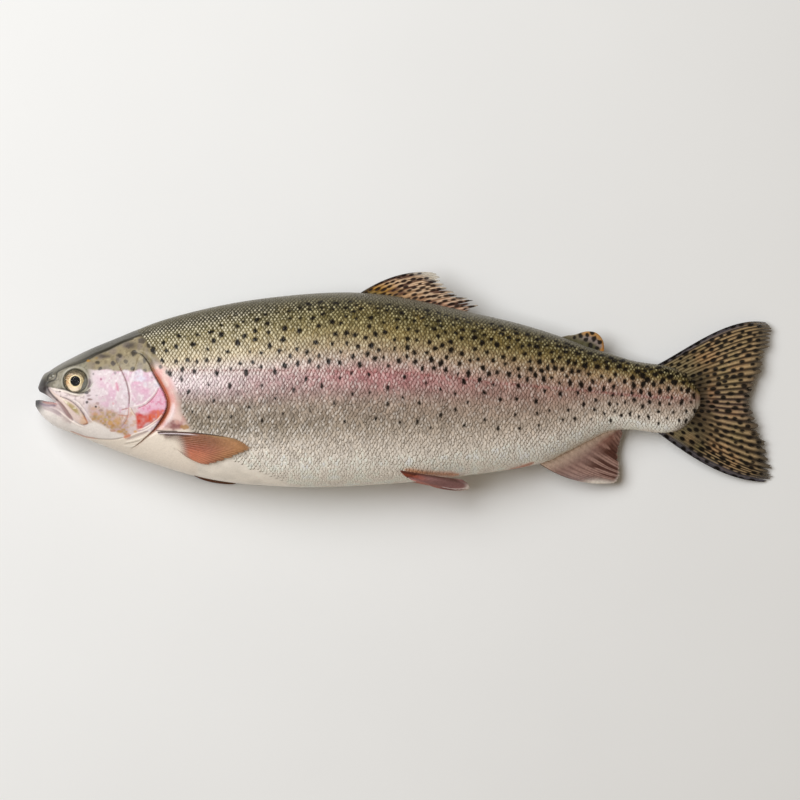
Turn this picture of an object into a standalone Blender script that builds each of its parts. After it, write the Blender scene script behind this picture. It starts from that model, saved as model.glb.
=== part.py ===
"""Rainbow trout, life size, lying on its right side. Metres, +Z up.

The fish is laid out in its own coordinates first: x runs from the chin back to the tail, y from the
belly up to the back, and z from the floor, on which its right flank lies, to the left flank above.
Lengths are in millimetres and become metres where the meshes are made. The finished fish is then
moved so that the origin is at the bottom centre of its box.
"""

import math

import bmesh
import bpy
import mathutils
import numpy as np

MM = 0.001
GAP = 0.3                 # free space between two solids that meet
HEAD_LENGTH = 80.0        # chin to the rear edge of the gill cover
TRUNK_START = 52.0        # the trunk reaches forward under the gill covers
TRUNK_SPLIT = 215.0       # the trunk is two solids, parted under the dorsal fin
STALK_START = 330.0       # the tail stalk begins under the adipose fin
FLESH_END = 406.0         # the rounded end of the flesh, between the tail rays
RING_POINTS = 32
HEAD_STEPS, JAW_STEPS, THROAT_STEPS, PLATE_STEPS = 18, 12, 8, 9
BODY_SPANS = {            # start, end and number of steps of each stretch behind the gills
    "trunk_front": (TRUNK_START, TRUNK_SPLIT, 12),
    "trunk_rear": (TRUNK_SPLIT + GAP, STALK_START, 8),
    "tail_stalk": (STALK_START + GAP, FLESH_END, 10),
}

# The body's outline: x, back, belly, half width, height of the middle plane above the floor.
STATIONS = np.array([
    (0.0, -4.0, -9.0, 2.5, 20.0),
    (1.5, 2.0, -11.6, 5.5, 20.2),
    (4.0, 8.5, -14.9, 8.5, 20.4),
    (9.0, 13.0, -19.4, 11.9, 20.8),
    (24.0, 22.3, -26.0, 17.6, 22.2),
    (53.0, 35.0, -37.6, 24.2, 25.0),
    (72.0, 42.6, -44.0, 26.5, 26.9),
    (102.0, 50.3, -53.0, 28.9, 28.5),
    (150.0, 58.0, -58.4, 31.3, 30.0),
    (199.0, 60.2, -57.7, 30.9, 29.6),
    (268.0, 47.8, -51.0, 24.8, 24.4),
    (302.0, 39.5, -45.6, 19.6, 20.6),
    (312.0, 36.4, -43.2, 18.0, 19.4),
    (324.0, 32.4, -37.4, 16.2, 18.0),
    (338.0, 27.0, -30.3, 13.8, 16.3),
    (349.0, 23.8, -25.0, 12.1, 15.1),
    (365.0, 18.8, -23.7, 10.1, 13.7),
    (376.0, 17.0, -25.1, 8.9, 12.7),
    (385.0, 16.0, -25.8, 7.8, 11.9),
    (401.5, 6.5, -17.0, 4.4, 10.8),
    (FLESH_END, 0.0, -9.0, 2.2, 10.5),
])

EYE_CENTRE = (24.6, 6.3)
EYE_RADIUS = 7.4
EYE_HALF_DEPTH = 5.0
EYE_PROUD = 1.7           # how far the eye stands out of the head

# The plates at each side of the head: outline seen from the side, thickness, how far the plate
# stands off the head at its front and its rear edge, and the x of those two edges.
PLATES = {
    "gill_cover": {
        "outline": [
            (51.5, 15.5), (56.5, 21.5), (63.0, 24.0), (68.5, 19.8), (74.2, 10.0), (79.0, -2.0),
            (79.6, -10.5), (75.5, -17.5), (69.0, -24.5), (61.0, -32.0), (56.5, -34.5),
            (52.8, -28.4), (54.0, -21.5), (57.0, -12.5), (57.8, -4.0), (56.0, 5.0),
        ],
        "thick": 2.0, "lift": (0.3, 1.2), "reach": (50.0, 80.0),
    },
    "jawbone": {
        "outline": [
            (8.8, 2.6), (13.5, -2.0), (21.0, -4.6), (27.0, -9.0), (31.0, -14.0), (33.0, -19.0),
            (29.5, -20.6), (24.0, -18.6), (19.0, -12.8), (13.0, -6.6), (9.2, -1.4),
        ],
        "thick": 1.5, "lift": (0.9, 0.9), "reach": (9.0, 33.0),
    },
}

# Lines seen from the side, x and y, along which the head is parted.
HEAD_REAR = [(62, 60), (65, 32), (71, 15), (76, 2), (75, -12), (68, -24), (60.5, -32.5), (57, -60)]
THROAT = [(21, -60), (23, -25.5), (33, -27.8), (44, -29.6), (52, -29.2), (57.5, -34), (58, -60)]
LIP_UPPER = [(1.0, 2.2), (2.9, -0.6), (6.0, -2.2)]
LIP_LOWER = [(0.0, -5.2), (3.0, -4.9), (6.3, -5.7)]
JAW_LINE = [(10.0, -5.7), (14.0, -8.6), (17.5, -12.4), (21.5, -17.0), (28.0, -20.4), (38.0, -23.6)]
JAW_REAR = [(41.0, -26.0), (40.0, -60.0)]

SKIN_COLOURS = {          # linear colour, roughness and metallic value, by the start of a name
    "head": ((0.30, 0.27, 0.19), 0.35, 0.1),
    "gill": ((0.72, 0.58, 0.60), 0.30, 0.3),
    "jaw": ((0.62, 0.55, 0.46), 0.35, 0.0),
    "lower": ((0.70, 0.64, 0.58), 0.40, 0.0),
    "throat": ((0.74, 0.70, 0.64), 0.40, 0.0),
    "trunk": ((0.52, 0.47, 0.43), 0.30, 0.4),
    "tail": ((0.45, 0.40, 0.35), 0.30, 0.4),
    "caudal": ((0.30, 0.24, 0.14), 0.45, 0.0),
    "dorsal": ((0.38, 0.30, 0.18), 0.45, 0.0),
    "adipose": ((0.34, 0.27, 0.10), 0.45, 0.0),
    "anal": ((0.50, 0.36, 0.30), 0.45, 0.0),
    "pelvic": ((0.55, 0.34, 0.26), 0.45, 0.0),
    "pectoral": ((0.55, 0.30, 0.20), 0.45, 0.0),
    "eye": ((0.05, 0.045, 0.03), 0.05, 0.0),
}


# ---------------------------------------------------------------- the body as a formula

def smooth_value(x, knots, values):
    """The height at x of a smooth curve through the values."""
    span = np.diff(knots)
    rise = np.diff(values) / span
    slope = np.empty(len(knots))
    slope[0], slope[-1] = rise[0], rise[-1]
    slope[1:-1] = (rise[:-1] * span[1:] + rise[1:] * span[:-1]) / (span[:-1] + span[1:])
    i = int(np.clip(np.searchsorted(knots, x) - 1, 0, len(span) - 1))
    t = (x - knots[i]) / span[i]
    before = 2 * t**3 - 3 * t**2 + 1
    return (before * values[i] + (t**3 - 2 * t**2 + t) * span[i] * slope[i]
            + (1 - before) * values[i + 1] + (t**3 - t**2) * span[i] * slope[i + 1])


def body_at(x):
    """Back, belly, half width, height of the middle plane, and the y where the body is broadest."""
    back, belly, half_width, middle = (
        float(smooth_value(x, STATIONS[:, 0], STATIONS[:, column])) for column in (1, 2, 3, 4))
    share = 0.42 + 0.12 * min(1.0, x / 45.0)      # low at the snout, above the middle further back
    return back, belly, half_width, middle, belly + share * (back - belly)


def body_ring(x, wider=0.0, taller=0.0):
    """One cross-section: back, left flank, belly, right flank. The snout is squarer than the trunk."""
    back, belly, half_width, middle, broad = body_at(x)
    snout = max(0.0, 1.0 - x / 70.0)
    ring = []
    for k in range(RING_POINTS):
        up = math.cos(2 * math.pi * k / RING_POINTS)
        out = math.sin(2 * math.pi * k / RING_POINTS)
        power = 2 / (2.0 + 0.5 * snout if up > 0 else 2.15 + 0.35 * snout)
        reach = taller + (back - broad if up > 0 else broad - belly)
        y = broad + math.copysign(abs(up) ** power, up) * reach
        z = middle + math.copysign(abs(out) ** power, out) * (half_width + wider)
        ring.append((x, y, z))
    return ring


def flank_height(x, y, side):
    """The z of the body's surface at x and y, on the left flank for side 1 and the right for -1."""
    back, belly, half_width, middle, broad = body_at(x)
    share = min(1.0, abs(y - broad) / (back - broad if y > broad else broad - belly))
    return middle + side * half_width * (1 - share**2.1) ** (1 / 2.1)


def ring_places(start, end, steps):
    """The x of each ring, closer together where the snout or the end of the flesh turns in."""
    share = np.linspace(0, 1, steps + 1)
    if start < 1.0:
        share = share**1.5
    if end > FLESH_END - 1.0:
        share = np.sin(share * math.pi / 2)
    return start + (end - start) * share


def smooth_line(points, steps, closed=False):
    """A smooth line through the points, with steps pieces between each two."""
    p = np.array(points, float)
    line = []
    for i in range(len(p) if closed else len(p) - 1):
        places = [i - 1, i, i + 1, i + 2]
        places = [k % len(p) if closed else min(max(k, 0), len(p) - 1) for k in places]
        a, b, c, d = p[places]
        for t in np.arange(steps) / steps:
            line.append(0.5 * (2 * b + (c - a) * t + (2 * a - 5 * b + 4 * c - d) * t**2
                               + (3 * b - a - 3 * c + d) * t**3))
    if not closed:
        line.append(p[-1])
    return [tuple(q) for q in line]


def grown(outline, by):
    """A closed outline pushed outwards by a distance."""
    p = np.array(outline)
    along = np.roll(p, -1, 0) - np.roll(p, 1, 0)
    normal = np.stack([along[:, 1], -along[:, 0]], 1)
    normal /= np.linalg.norm(normal, axis=1)[:, None]
    ahead = np.roll(p, -1, 0)
    twice_area = np.sum(p[:, 0] * ahead[:, 1] - ahead[:, 0] * p[:, 1])
    return [tuple(q) for q in p + normal * math.copysign(by, twice_area)]


# ---------------------------------------------------------------- making and cutting solids

def finish_solid(bm, name, collection):
    bmesh.ops.recalc_face_normals(bm, faces=bm.faces)
    mesh = bpy.data.meshes.new(name)
    bm.to_mesh(mesh)
    bm.free()
    obj = bpy.data.objects.new(name, mesh)
    collection.objects.link(obj)
    return obj


def loft(name, rings, collection):
    """A closed solid through rings of equal length, with flat ends, cut flat at the floor."""
    bm = bmesh.new()
    grid = [[bm.verts.new((x * MM, y * MM, max(z, 0.0) * MM)) for x, y, z in ring] for ring in rings]
    for near, far in zip(grid, grid[1:]):
        for k in range(len(near)):
            n = (k + 1) % len(near)
            bm.faces.new((near[k], near[n], far[n], far[k]))
    bm.faces.new(grid[0])
    bm.faces.new(reversed(grid[-1]))
    return finish_solid(bm, name, collection)


def body_part(name, start, end, steps, collection, wider=None):
    """The stretch of the body from start to end. wider gives for each x how much wider it is."""
    rings = [body_ring(x, wider(x) if wider else 0.0) for x in ring_places(start, end, steps)]
    return loft(name, rings, collection)


def body_hull(collection):
    """The body behind the gills, larger by the gap: what the fins are cut to."""
    places = sorted({float(x) for span in BODY_SPANS.values() for x in ring_places(*span)})
    rings = [body_ring(x, GAP, GAP) for x in places]
    rings.append([(x + GAP, y, z) for x, y, z in rings[-1]])
    return loft("hull", rings, collection)


def prism(name, outline, low, high, collection):
    """A side-view outline made solid from z low to z high."""
    curve = bpy.data.curves.new(name, "CURVE")
    curve.dimensions = "2D"
    curve.fill_mode = "BOTH"
    curve.extrude = (high - low) / 2 * MM
    spline = curve.splines.new("POLY")
    spline.points.add(len(outline) - 1)
    for point, (x, y) in zip(spline.points, outline):
        point.co = (x * MM, y * MM, 0, 1)
    spline.use_cyclic_u = True
    guide = bpy.data.objects.new(name, curve)
    collection.objects.link(guide)
    graph = bpy.context.evaluated_depsgraph_get()
    mesh = bpy.data.meshes.new_from_object(guide.evaluated_get(graph))
    bpy.data.objects.remove(guide)
    bm = bmesh.new()
    bm.from_mesh(mesh)
    bmesh.ops.remove_doubles(bm, verts=bm.verts, dist=1e-6)
    bmesh.ops.translate(bm, verts=bm.verts, vec=(0, 0, (high + low) / 2 * MM))
    return finish_solid(bm, name, collection)


def ellipsoid(name, centre, radius, half_depth, collection):
    bm = bmesh.new()
    bmesh.ops.create_uvsphere(bm, u_segments=16, v_segments=8, radius=MM)
    bmesh.ops.scale(bm, verts=bm.verts, vec=(radius, radius, half_depth))
    bmesh.ops.translate(bm, verts=bm.verts, vec=mathutils.Vector(centre) * MM)
    return finish_solid(bm, name, collection)


def shape_with(obj, operation, others):
    """Applies one Boolean after another to the object."""
    for other in others:
        modifier = obj.modifiers.new(operation, "BOOLEAN")
        modifier.object = other
        modifier.operation = operation
        modifier.solver = "EXACT"
        graph = bpy.context.evaluated_depsgraph_get()
        obj.data, old = bpy.data.meshes.new_from_object(obj.evaluated_get(graph)), obj.data
        obj.modifiers.clear()
        bpy.data.meshes.remove(old)


def cut(obj, *others):
    shape_with(obj, "DIFFERENCE", others)


def keep(obj, *others):
    shape_with(obj, "INTERSECT", others)


# ---------------------------------------------------------------- the head

def plate_and_seat(kind, word, side, trout, cutters):
    """A thin curved plate at one side of the head, and the cutter that seats it there."""
    plate_form = PLATES[kind]
    outline = smooth_line(plate_form["outline"], 2, closed=True)
    start, end = plate_form["reach"]
    front_lift, rear_lift = plate_form["lift"]

    def lift(x):
        return front_lift + (rear_lift - front_lift) * min(1.0, max(0.0, (x - start) / (end - start)))

    middle = body_at((start + end) / 2)[3]
    low, high = (middle + 1, middle + 60) if side > 0 else (middle - 60, middle - 1)
    window = prism("window", outline, low, high, cutters)
    inside = body_part("inside", start - 5, end + 6, PLATE_STEPS, cutters,
                       lambda x: lift(x) - plate_form["thick"])
    core = body_part("core", start - 5, end + 6, PLATE_STEPS, cutters,
                     lambda x: lift(x) - plate_form["thick"] - GAP)
    plate = body_part(kind + "_" + word, start - 3, end + 4, PLATE_STEPS, trout, lift)
    keep(plate, window)
    cut(plate, inside)
    seat = prism("seat", grown(outline, GAP), low, high, cutters)
    cut(seat, core)
    return seat


def eye(name, side, larger, collection):
    x, y = EYE_CENTRE
    z = flank_height(x, y, side) + side * (EYE_PROUD - EYE_HALF_DEPTH)
    return ellipsoid(name, (x, y, z), EYE_RADIUS + larger, EYE_HALF_DEPTH + larger, collection)


def side_cutter(name, outline, cutters):
    """An outline in side view, right through the fish."""
    return prism(name, outline, -20.0, 90.0, cutters)


def head(trout, cutters):
    """Skull, lower jaw, throat, gill covers, jawbones and eyes, and the front end of the trunk."""
    seats = [plate_and_seat(kind, word, side, trout, cutters)
             for kind in PLATES for word, side in (("left", 1), ("right", -1))]
    sockets = [eye("socket", side, GAP, cutters) for side in (1, -1)]
    eye("eye_left", 1, 0.0, trout)
    eye("eye_right", -1, 0.0, trout)

    far, top = -60.0, 60.0
    rear = smooth_line(HEAD_REAR, 3)
    skull = side_cutter("skull", rear + [(-5, far), (-5, top)], cutters)
    skull_free = side_cutter("skull_free", [(x + GAP, y) for x, y in rear] + [(-5, far), (-5, top)],
                             cutters)
    throat_line = smooth_line(THROAT, 2)
    throat_block = side_cutter("throat_block", throat_line, cutters)
    throat_free = side_cutter("throat_free", grown(throat_line, GAP), cutters)
    jaw_top = LIP_LOWER + smooth_line(JAW_LINE, 2)
    jaw_block = side_cutter("jaw_block", [(-5, far), (-5, -5.2)] + jaw_top + JAW_REAR, cutters)
    mouth_top = LIP_UPPER + [(x, y + GAP) for x, y in smooth_line(JAW_LINE, 2)]
    mouth_rear = [(x + GAP, y) for x, y in JAW_REAR]
    mouth = side_cutter("mouth", [(-5, far), (-5, 3.0)] + mouth_top + mouth_rear, cutters)

    skull_part = body_part("head", 0.0, HEAD_LENGTH, HEAD_STEPS, trout)
    keep(skull_part, skull)
    cut(skull_part, mouth, throat_free, *seats, *sockets)
    jaw = body_part("lower_jaw", 0.0, 46.0, JAW_STEPS, trout)
    keep(jaw, jaw_block)
    cut(jaw, throat_free, *seats)
    throat = body_part("throat", 18.0, 64.0, THROAT_STEPS, trout)
    keep(throat, throat_block)
    cut(throat, *seats)
    cut(trout.objects["trunk_front"], skull_free, throat_free, *seats)


# ---------------------------------------------------------------- the fins

def point_on(line, share):
    place = share * (len(line) - 1)
    return np.array([np.interp(place, range(len(line)), line[:, k]) for k in range(3)])


def fin(name, base, tips, bows, thick, collection, across=10, along=5, lie=None):
    """A thin fin of bowed rays from the base line to the tip line, both smooth 3-D lines.

    bows gives the bow of the first and of the last ray as a 3-D offset, thick the thickness at the
    base and at the tips. lie gives the height of a fin that lies against the body, for x, y and the
    share of the way out along the ray.
    """
    base_line, tip_line = np.array(smooth_line(base, 8)), np.array(smooth_line(tips, 8))
    centre = np.empty((across + 1, along + 1, 3))
    for i, j in np.ndindex(across + 1, along + 1):
        v, u = i / across, j / along
        root, tip = point_on(base_line, v), point_on(tip_line, v)
        bow = np.array(bows[0]) * (1 - v) + np.array(bows[1]) * v
        centre[i, j] = root * (1 - u) + tip * u + 2 * u * (1 - u) * bow
        if lie:
            centre[i, j, 2] = lie(centre[i, j, 0], centre[i, j, 1], u)
    normal = np.cross(np.gradient(centre, axis=0), np.gradient(centre, axis=1))
    normal /= np.linalg.norm(normal, axis=2, keepdims=True)
    out = np.linspace(0, 1, along + 1)[None, :, None]
    half = (thick[0] + (thick[1] - thick[0]) * out**0.7) / 2
    bm = bmesh.new()
    upper, lower = ([[bm.verts.new(q * MM) for q in row] for row in centre + sign * half * normal]
                    for sign in (1, -1))
    for face in (upper, lower):
        for i, j in np.ndindex(across, along):
            bm.faces.new((face[i][j], face[i + 1][j], face[i + 1][j + 1], face[i][j + 1]))
    rim = ([(i, 0) for i in range(across)] + [(across, j) for j in range(along)]
           + [(i, along) for i in range(across, 0, -1)] + [(0, j) for j in range(along, 0, -1)])
    for (i, j), (m, n) in zip(rim, rim[1:] + rim[:1]):
        bm.faces.new((upper[i][j], upper[m][n], lower[m][n], lower[i][j]))
    return finish_solid(bm, name, collection)


def in_middle_plane(points, droop=0.0):
    """Side-view points at the height of the body's middle plane, less what the fin droops."""
    return [(x, y, body_at(min(x, FLESH_END))[3] - droop) for x, y in points]


def dorsal_fin(collection):
    base = in_middle_plane([(198.0, 58.0), (213.0, 56.5), (236.0, 52.0), (257.0, 46.5)])
    tips = in_middle_plane([(238.0, 72.8), (245.0, 71.9), (249.4, 67.4), (255.0, 62.0),
                            (262.0, 57.6), (270.5, 53.8), (267.0, 50.4)], droop=3.0)
    return fin("dorsal_fin", base, tips, [(-1.5, 8.5, 0), (0, 0.5, 0)], (3.0, 0.7), collection)


def adipose_fin(collection):
    base = in_middle_plane([(321.0, 31.0), (333.0, 26.0), (345.0, 22.0)])
    tips = in_middle_plane([(331.0, 35.8), (336.6, 37.0), (342.5, 35.6), (346.8, 30.5),
                            (347.0, 25.4)], droop=0.8)
    return fin("adipose_fin", base, tips, [(0, 1.4, 0), (0, 0, 0)], (3.6, 1.4), collection, 8, 3)


def anal_fin(collection):
    base = in_middle_plane([(305.0, -42.5), (319.0, -36.5), (337.0, -28.0), (356.5, -21.0)])
    tips = in_middle_plane([(347.0, -56.5), (354.0, -55.8), (357.4, -52.3), (357.4, -47.0),
                            (356.0, -37.0), (358.5, -26.0)], droop=7.0)
    return fin("anal_fin", base, tips, [(-2.0, -7.0, 0), (0, 0, 0)], (3.2, 0.7), collection)


def caudal_fin(collection):
    """The tail fin droops from the stalk, so that the tips of its two lobes come near the floor."""
    base = [(376.0, 14.5, 12.6), (392.0, 8.5, 11.4), (400.0, -4.5, 10.8), (392.0, -17.5, 11.4),
            (376.0, -22.5, 12.6)]
    tips = [(442.3, 42.8, 4.0), (448.5, 42.0, 3.4), (450.2, 37.0, 3.8), (447.0, 22.0, 5.8),
            (442.5, 7.0, 7.0), (437.8, -5.0, 7.2), (440.5, -16.0, 6.4), (447.5, -33.0, 4.0),
            (451.0, -49.0, 1.8), (449.0, -53.6, 1.3), (442.3, -55.6, 1.6)]
    return fin("caudal_fin", base, tips, [(6.0, 8.0, 0), (4.0, -10.0, 0)], (5.0, 0.7), collection,
               across=20, along=6)


def pectoral_fins(collection):
    """The left fin lies back along the flank. The right one is pressed down beside the body."""
    base = [(76.0, -26.0, 0), (79.0, -31.5, 0), (84.0, -35.5, 0)]
    tips = [(131.5, -34.0, 0), (125.5, -38.3, 0), (112.7, -42.8, 0), (104.0, -44.5, 0),
            (95.5, -41.2, 0)]
    left = fin("pectoral_fin_left", base, tips, [(0, 4.0, 0), (0, 0.6, 0)], (2.2, 0.7), collection,
               lie=lambda x, y, u: flank_height(x, y, 1) + 0.4 + 1.6 * u)
    base = [(77.0, -26.0, 8.5), (79.5, -31.0, 11.5), (83.0, -35.5, 15.0)]
    tips = [(126.0, -53.0, 1.6), (121.0, -57.4, 1.5), (110.0, -56.8, 1.6), (101.0, -54.4, 2.0),
            (93.0, -50.0, 4.0)]
    right = fin("pectoral_fin_right", base, tips, [(0, 1.0, -2.0), (0, 0.5, -1.5)], (2.0, 0.7),
                collection)
    return left, right


def pelvic_fins(collection):
    """Narrow folded fins below the belly, seen almost edge-on."""
    fins = []
    middle = body_at(226.0)[3]
    for word, side, spread, lower in (("left", 1, 11.0, 0.0), ("right", -1, -9.0, 1.0)):
        base = [(223.0, -48.0 - lower, middle + spread),
                (227.0, -50.5 - lower, middle + 0.55 * spread),
                (231.0, -51.5 - lower, middle + 0.2 * spread)]
        tips = [(264.5, -58.4 - lower, middle + spread + 3.0 * side),
                (261.5, -60.0 - lower, middle + 0.7 * spread),
                (255.0, -59.4 - lower, middle + 0.3 * spread),
                (248.0, -58.0 - lower, middle + 0.05 * spread)]
        fins.append(fin("pelvic_fin_" + word, base, tips, [(0, -2.0, 0), (0, -1.0, 0)],
                        (2.4, 0.7), collection))
    return fins


# ---------------------------------------------------------------- putting it together

def give_materials(collection):
    for obj in collection.objects:
        start = next(word for word in SKIN_COLOURS if obj.name.startswith(word))
        colour, roughness, metallic = SKIN_COLOURS[start]
        material = bpy.data.materials.new(obj.name)
        material.use_nodes = True
        shader = material.node_tree.nodes["Principled BSDF"]
        shader.inputs["Base Color"].default_value = (*colour, 1.0)
        shader.inputs["Roughness"].default_value = roughness
        shader.inputs["Metallic"].default_value = metallic
        obj.data.materials.clear()
        obj.data.materials.append(material)
        obj.data.shade_smooth()
        obj.data.set_sharp_from_angle(angle=math.radians(40))


def stand_on_origin(collection):
    """Moves the whole fish so that the origin is at the bottom centre of its box."""
    points = np.array([vert.co for obj in collection.objects for vert in obj.data.vertices])
    low, high = points.min(0), points.max(0)
    shift = (-(low[0] + high[0]) / 2, -(low[1] + high[1]) / 2, -low[2])
    for obj in collection.objects:
        obj.data.transform(mathutils.Matrix.Translation(shift))


def build():
    for obj in list(bpy.data.objects):
        bpy.data.objects.remove(obj)
    trout = bpy.data.collections.new("rainbow_trout")
    cutters = bpy.data.collections.new("cutters")
    for collection in (trout, cutters):
        bpy.context.scene.collection.children.link(collection)
    for name, (start, end, steps) in BODY_SPANS.items():
        body_part(name, start, end, steps, trout)
    head(trout, cutters)
    hull = body_hull(cutters)
    fins = [dorsal_fin(trout), adipose_fin(trout), anal_fin(trout), caudal_fin(trout)]
    for piece in (*fins, *pectoral_fins(trout), *pelvic_fins(trout)):
        cut(piece, hull)
    for cutter in list(cutters.objects):
        bpy.data.objects.remove(cutter)
    give_materials(trout)
    stand_on_origin(trout)


build()
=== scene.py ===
import math

import bmesh
import bpy
import numpy as np
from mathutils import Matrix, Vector, kdtree


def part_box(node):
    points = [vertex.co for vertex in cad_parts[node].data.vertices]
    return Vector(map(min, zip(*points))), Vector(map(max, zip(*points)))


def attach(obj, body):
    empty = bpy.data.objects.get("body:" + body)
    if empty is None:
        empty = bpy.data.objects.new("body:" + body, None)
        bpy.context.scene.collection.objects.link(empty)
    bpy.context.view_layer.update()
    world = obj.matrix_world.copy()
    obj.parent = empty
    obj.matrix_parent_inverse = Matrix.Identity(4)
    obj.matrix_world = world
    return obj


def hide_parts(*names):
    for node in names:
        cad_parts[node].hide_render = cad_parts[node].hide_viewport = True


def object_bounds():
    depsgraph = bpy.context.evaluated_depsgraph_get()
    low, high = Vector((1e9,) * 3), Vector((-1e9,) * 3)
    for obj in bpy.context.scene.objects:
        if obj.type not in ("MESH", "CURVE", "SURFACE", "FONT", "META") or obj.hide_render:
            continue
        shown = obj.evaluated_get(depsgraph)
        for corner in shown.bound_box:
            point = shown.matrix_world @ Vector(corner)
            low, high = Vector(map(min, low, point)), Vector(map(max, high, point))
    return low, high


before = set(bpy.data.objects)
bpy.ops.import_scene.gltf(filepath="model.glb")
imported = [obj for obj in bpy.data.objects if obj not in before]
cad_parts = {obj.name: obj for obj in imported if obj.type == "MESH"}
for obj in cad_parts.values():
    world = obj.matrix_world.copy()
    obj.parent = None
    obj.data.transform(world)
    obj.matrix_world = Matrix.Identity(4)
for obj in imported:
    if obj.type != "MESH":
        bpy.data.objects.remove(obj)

cad_low, cad_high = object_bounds()

# ---------------------------------------------------------------- the skin
# One soft wet skin covers the skull, the cheeks, the gill covers, both jaws and the flesh behind them.
# The edges of the head's bones show through it, and behind the head it lies under the scales. It is a
# rounded loft that lies on its right flank, with the mouth cut open by four millimetres.

# The body's form in millimetres: x from the chin to the tail, y from the belly to the back, z up from
# the floor. Columns: x, back, belly, half width, height of the middle plane.
STATIONS = np.array([
    (0.0, -4.0, -9.0, 2.5, 20.0),
    (1.5, 2.0, -11.6, 5.5, 20.2),
    (4.0, 8.5, -14.9, 8.5, 20.4),
    (9.0, 12.6, -19.4, 11.9, 20.8),
    (24.0, 21.2, -26.0, 17.6, 22.2),
    (53.0, 33.8, -37.6, 24.2, 25.0),
    (72.0, 41.5, -44.0, 26.5, 26.9),
    (102.0, 50.0, -53.0, 28.9, 28.5),
    (150.0, 58.0, -58.4, 31.3, 30.0),
    (199.0, 60.2, -57.7, 30.9, 29.6),
    (268.0, 47.8, -51.0, 24.8, 24.4),
    (302.0, 39.5, -45.6, 19.6, 20.6),
    (312.0, 36.4, -43.2, 18.0, 19.4),
    (324.0, 32.4, -37.4, 16.2, 18.0),
    (338.0, 27.0, -30.3, 13.8, 16.3),
    (349.0, 23.8, -25.0, 12.1, 15.1),
    (365.0, 18.8, -23.7, 10.1, 13.7),
    (376.0, 17.0, -25.1, 8.9, 12.7),
    (385.0, 16.0, -25.8, 7.8, 11.9),
    (401.5, 6.5, -17.0, 4.4, 10.8),
    (406.0, 0.0, -9.0, 2.2, 10.5),
])
FLESH_END = 406.0
COAT_DEPTH = 0.34         # how far the skin lies below the tops of the scales
EYE_CENTRE = np.array([24.6, 6.3])

eye_low, eye_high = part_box("eye_left")
FISH_ORIGIN = np.array([*((eye_low + eye_high) / 2).xy, 0.0]) - np.array([*EYE_CENTRE, 0.0]) * 0.001
BOX_LOW, BOX_HIGH = np.array(cad_low) + 0.00001, np.array(cad_high) - 0.00001


def in_frame(points):
    """Fish millimetres to metres in the model's frame, kept inside the solid's box."""
    return np.clip(np.asarray(points) * 0.001 + FISH_ORIGIN, BOX_LOW, BOX_HIGH)


def smooth_value(x, column):
    """One column of the stations at x, as a smooth curve through them."""
    knots, values = STATIONS[:, 0], STATIONS[:, column]
    span = np.diff(knots)
    rise = np.diff(values) / span
    slope = np.empty(len(knots))
    slope[0], slope[-1] = rise[0], rise[-1]
    slope[1:-1] = (rise[:-1] * span[1:] + rise[1:] * span[:-1]) / (span[:-1] + span[1:])
    i = np.clip(np.searchsorted(knots, x) - 1, 0, len(span) - 1)
    t = (x - knots[i]) / span[i]
    before = 2 * t**3 - 3 * t**2 + 1
    return (before * values[i] + (t**3 - 2 * t**2 + t) * span[i] * slope[i]
            + (1 - before) * values[i + 1] + (t**3 - t**2) * span[i] * slope[i + 1])


def body_at(x):
    """Back, belly, half width, height of the middle plane, and the y where the body is broadest."""
    back, belly, half_width, middle = (smooth_value(x, column) for column in (1, 2, 3, 4))
    share = 0.42 + 0.12 * np.minimum(1.0, x / 45.0)
    return back, belly, half_width, middle, belly + share * (back - belly)


def body_surface(x, turn, deep=0.0):
    """Points of the flesh at x and at an angle from the back over the left flank."""
    back, belly, half_width, middle, broad = body_at(x)
    up, out = np.cos(turn), np.sin(turn)
    snout = np.maximum(0.0, 1.0 - x / 70.0)
    power = 2 / np.where(up > 0, 2.0 + 0.5 * snout, 2.15 + 0.35 * snout)
    reach = np.where(up > 0, back - broad, broad - belly) - deep
    y = broad + np.sign(up) * np.abs(up) ** power * reach
    z = middle + np.sign(out) * np.abs(out) ** power * (half_width - deep)
    return np.stack(np.broadcast_arrays(x, y, z), -1)


def step(low, high, value):
    """0 below low, 1 above high, smooth between."""
    t = np.clip((value - low) / (high - low), 0.0, 1.0)
    return t * t * (3 - 2 * t)


def smooth_line(points, steps=6, closed=False):
    """A smooth line through the points, with steps pieces between each two."""
    p = np.array(points, float)
    line = []
    for i in range(len(p) if closed else len(p) - 1):
        places = [i - 1, i, i + 1, i + 2]
        places = [k % len(p) if closed else min(max(k, 0), len(p) - 1) for k in places]
        a, b, c, d = p[places]
        for t in np.arange(steps) / steps:
            line.append(0.5 * (2 * b + (c - a) * t + (2 * a - 5 * b + 4 * c - d) * t**2
                               + (3 * b - a - 3 * c + d) * t**3))
    if not closed:
        line.append(p[-1])
    return np.array(line)


def near(line, x, y):
    """Distance to a line seen from the side, positive to the left of it, and the share along it."""
    best = np.full(x.shape, 1e9)
    side, share = np.ones_like(best), np.zeros_like(best)
    for i, (a, b) in enumerate(zip(line, line[1:])):
        d = b - a
        t = np.clip(((x - a[0]) * d[0] + (y - a[1]) * d[1]) / (d @ d), 0.0, 1.0)
        far = np.hypot(x - a[0] - t * d[0], y - a[1] - t * d[1])
        closer = far < best
        best = np.where(closer, far, best)
        side = np.where(closer, np.sign(d[0] * (y - a[1]) - d[1] * (x - a[0])), side)
        share = np.where(closer, (i + t) / (len(line) - 1), share)
    return best * side, share


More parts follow.
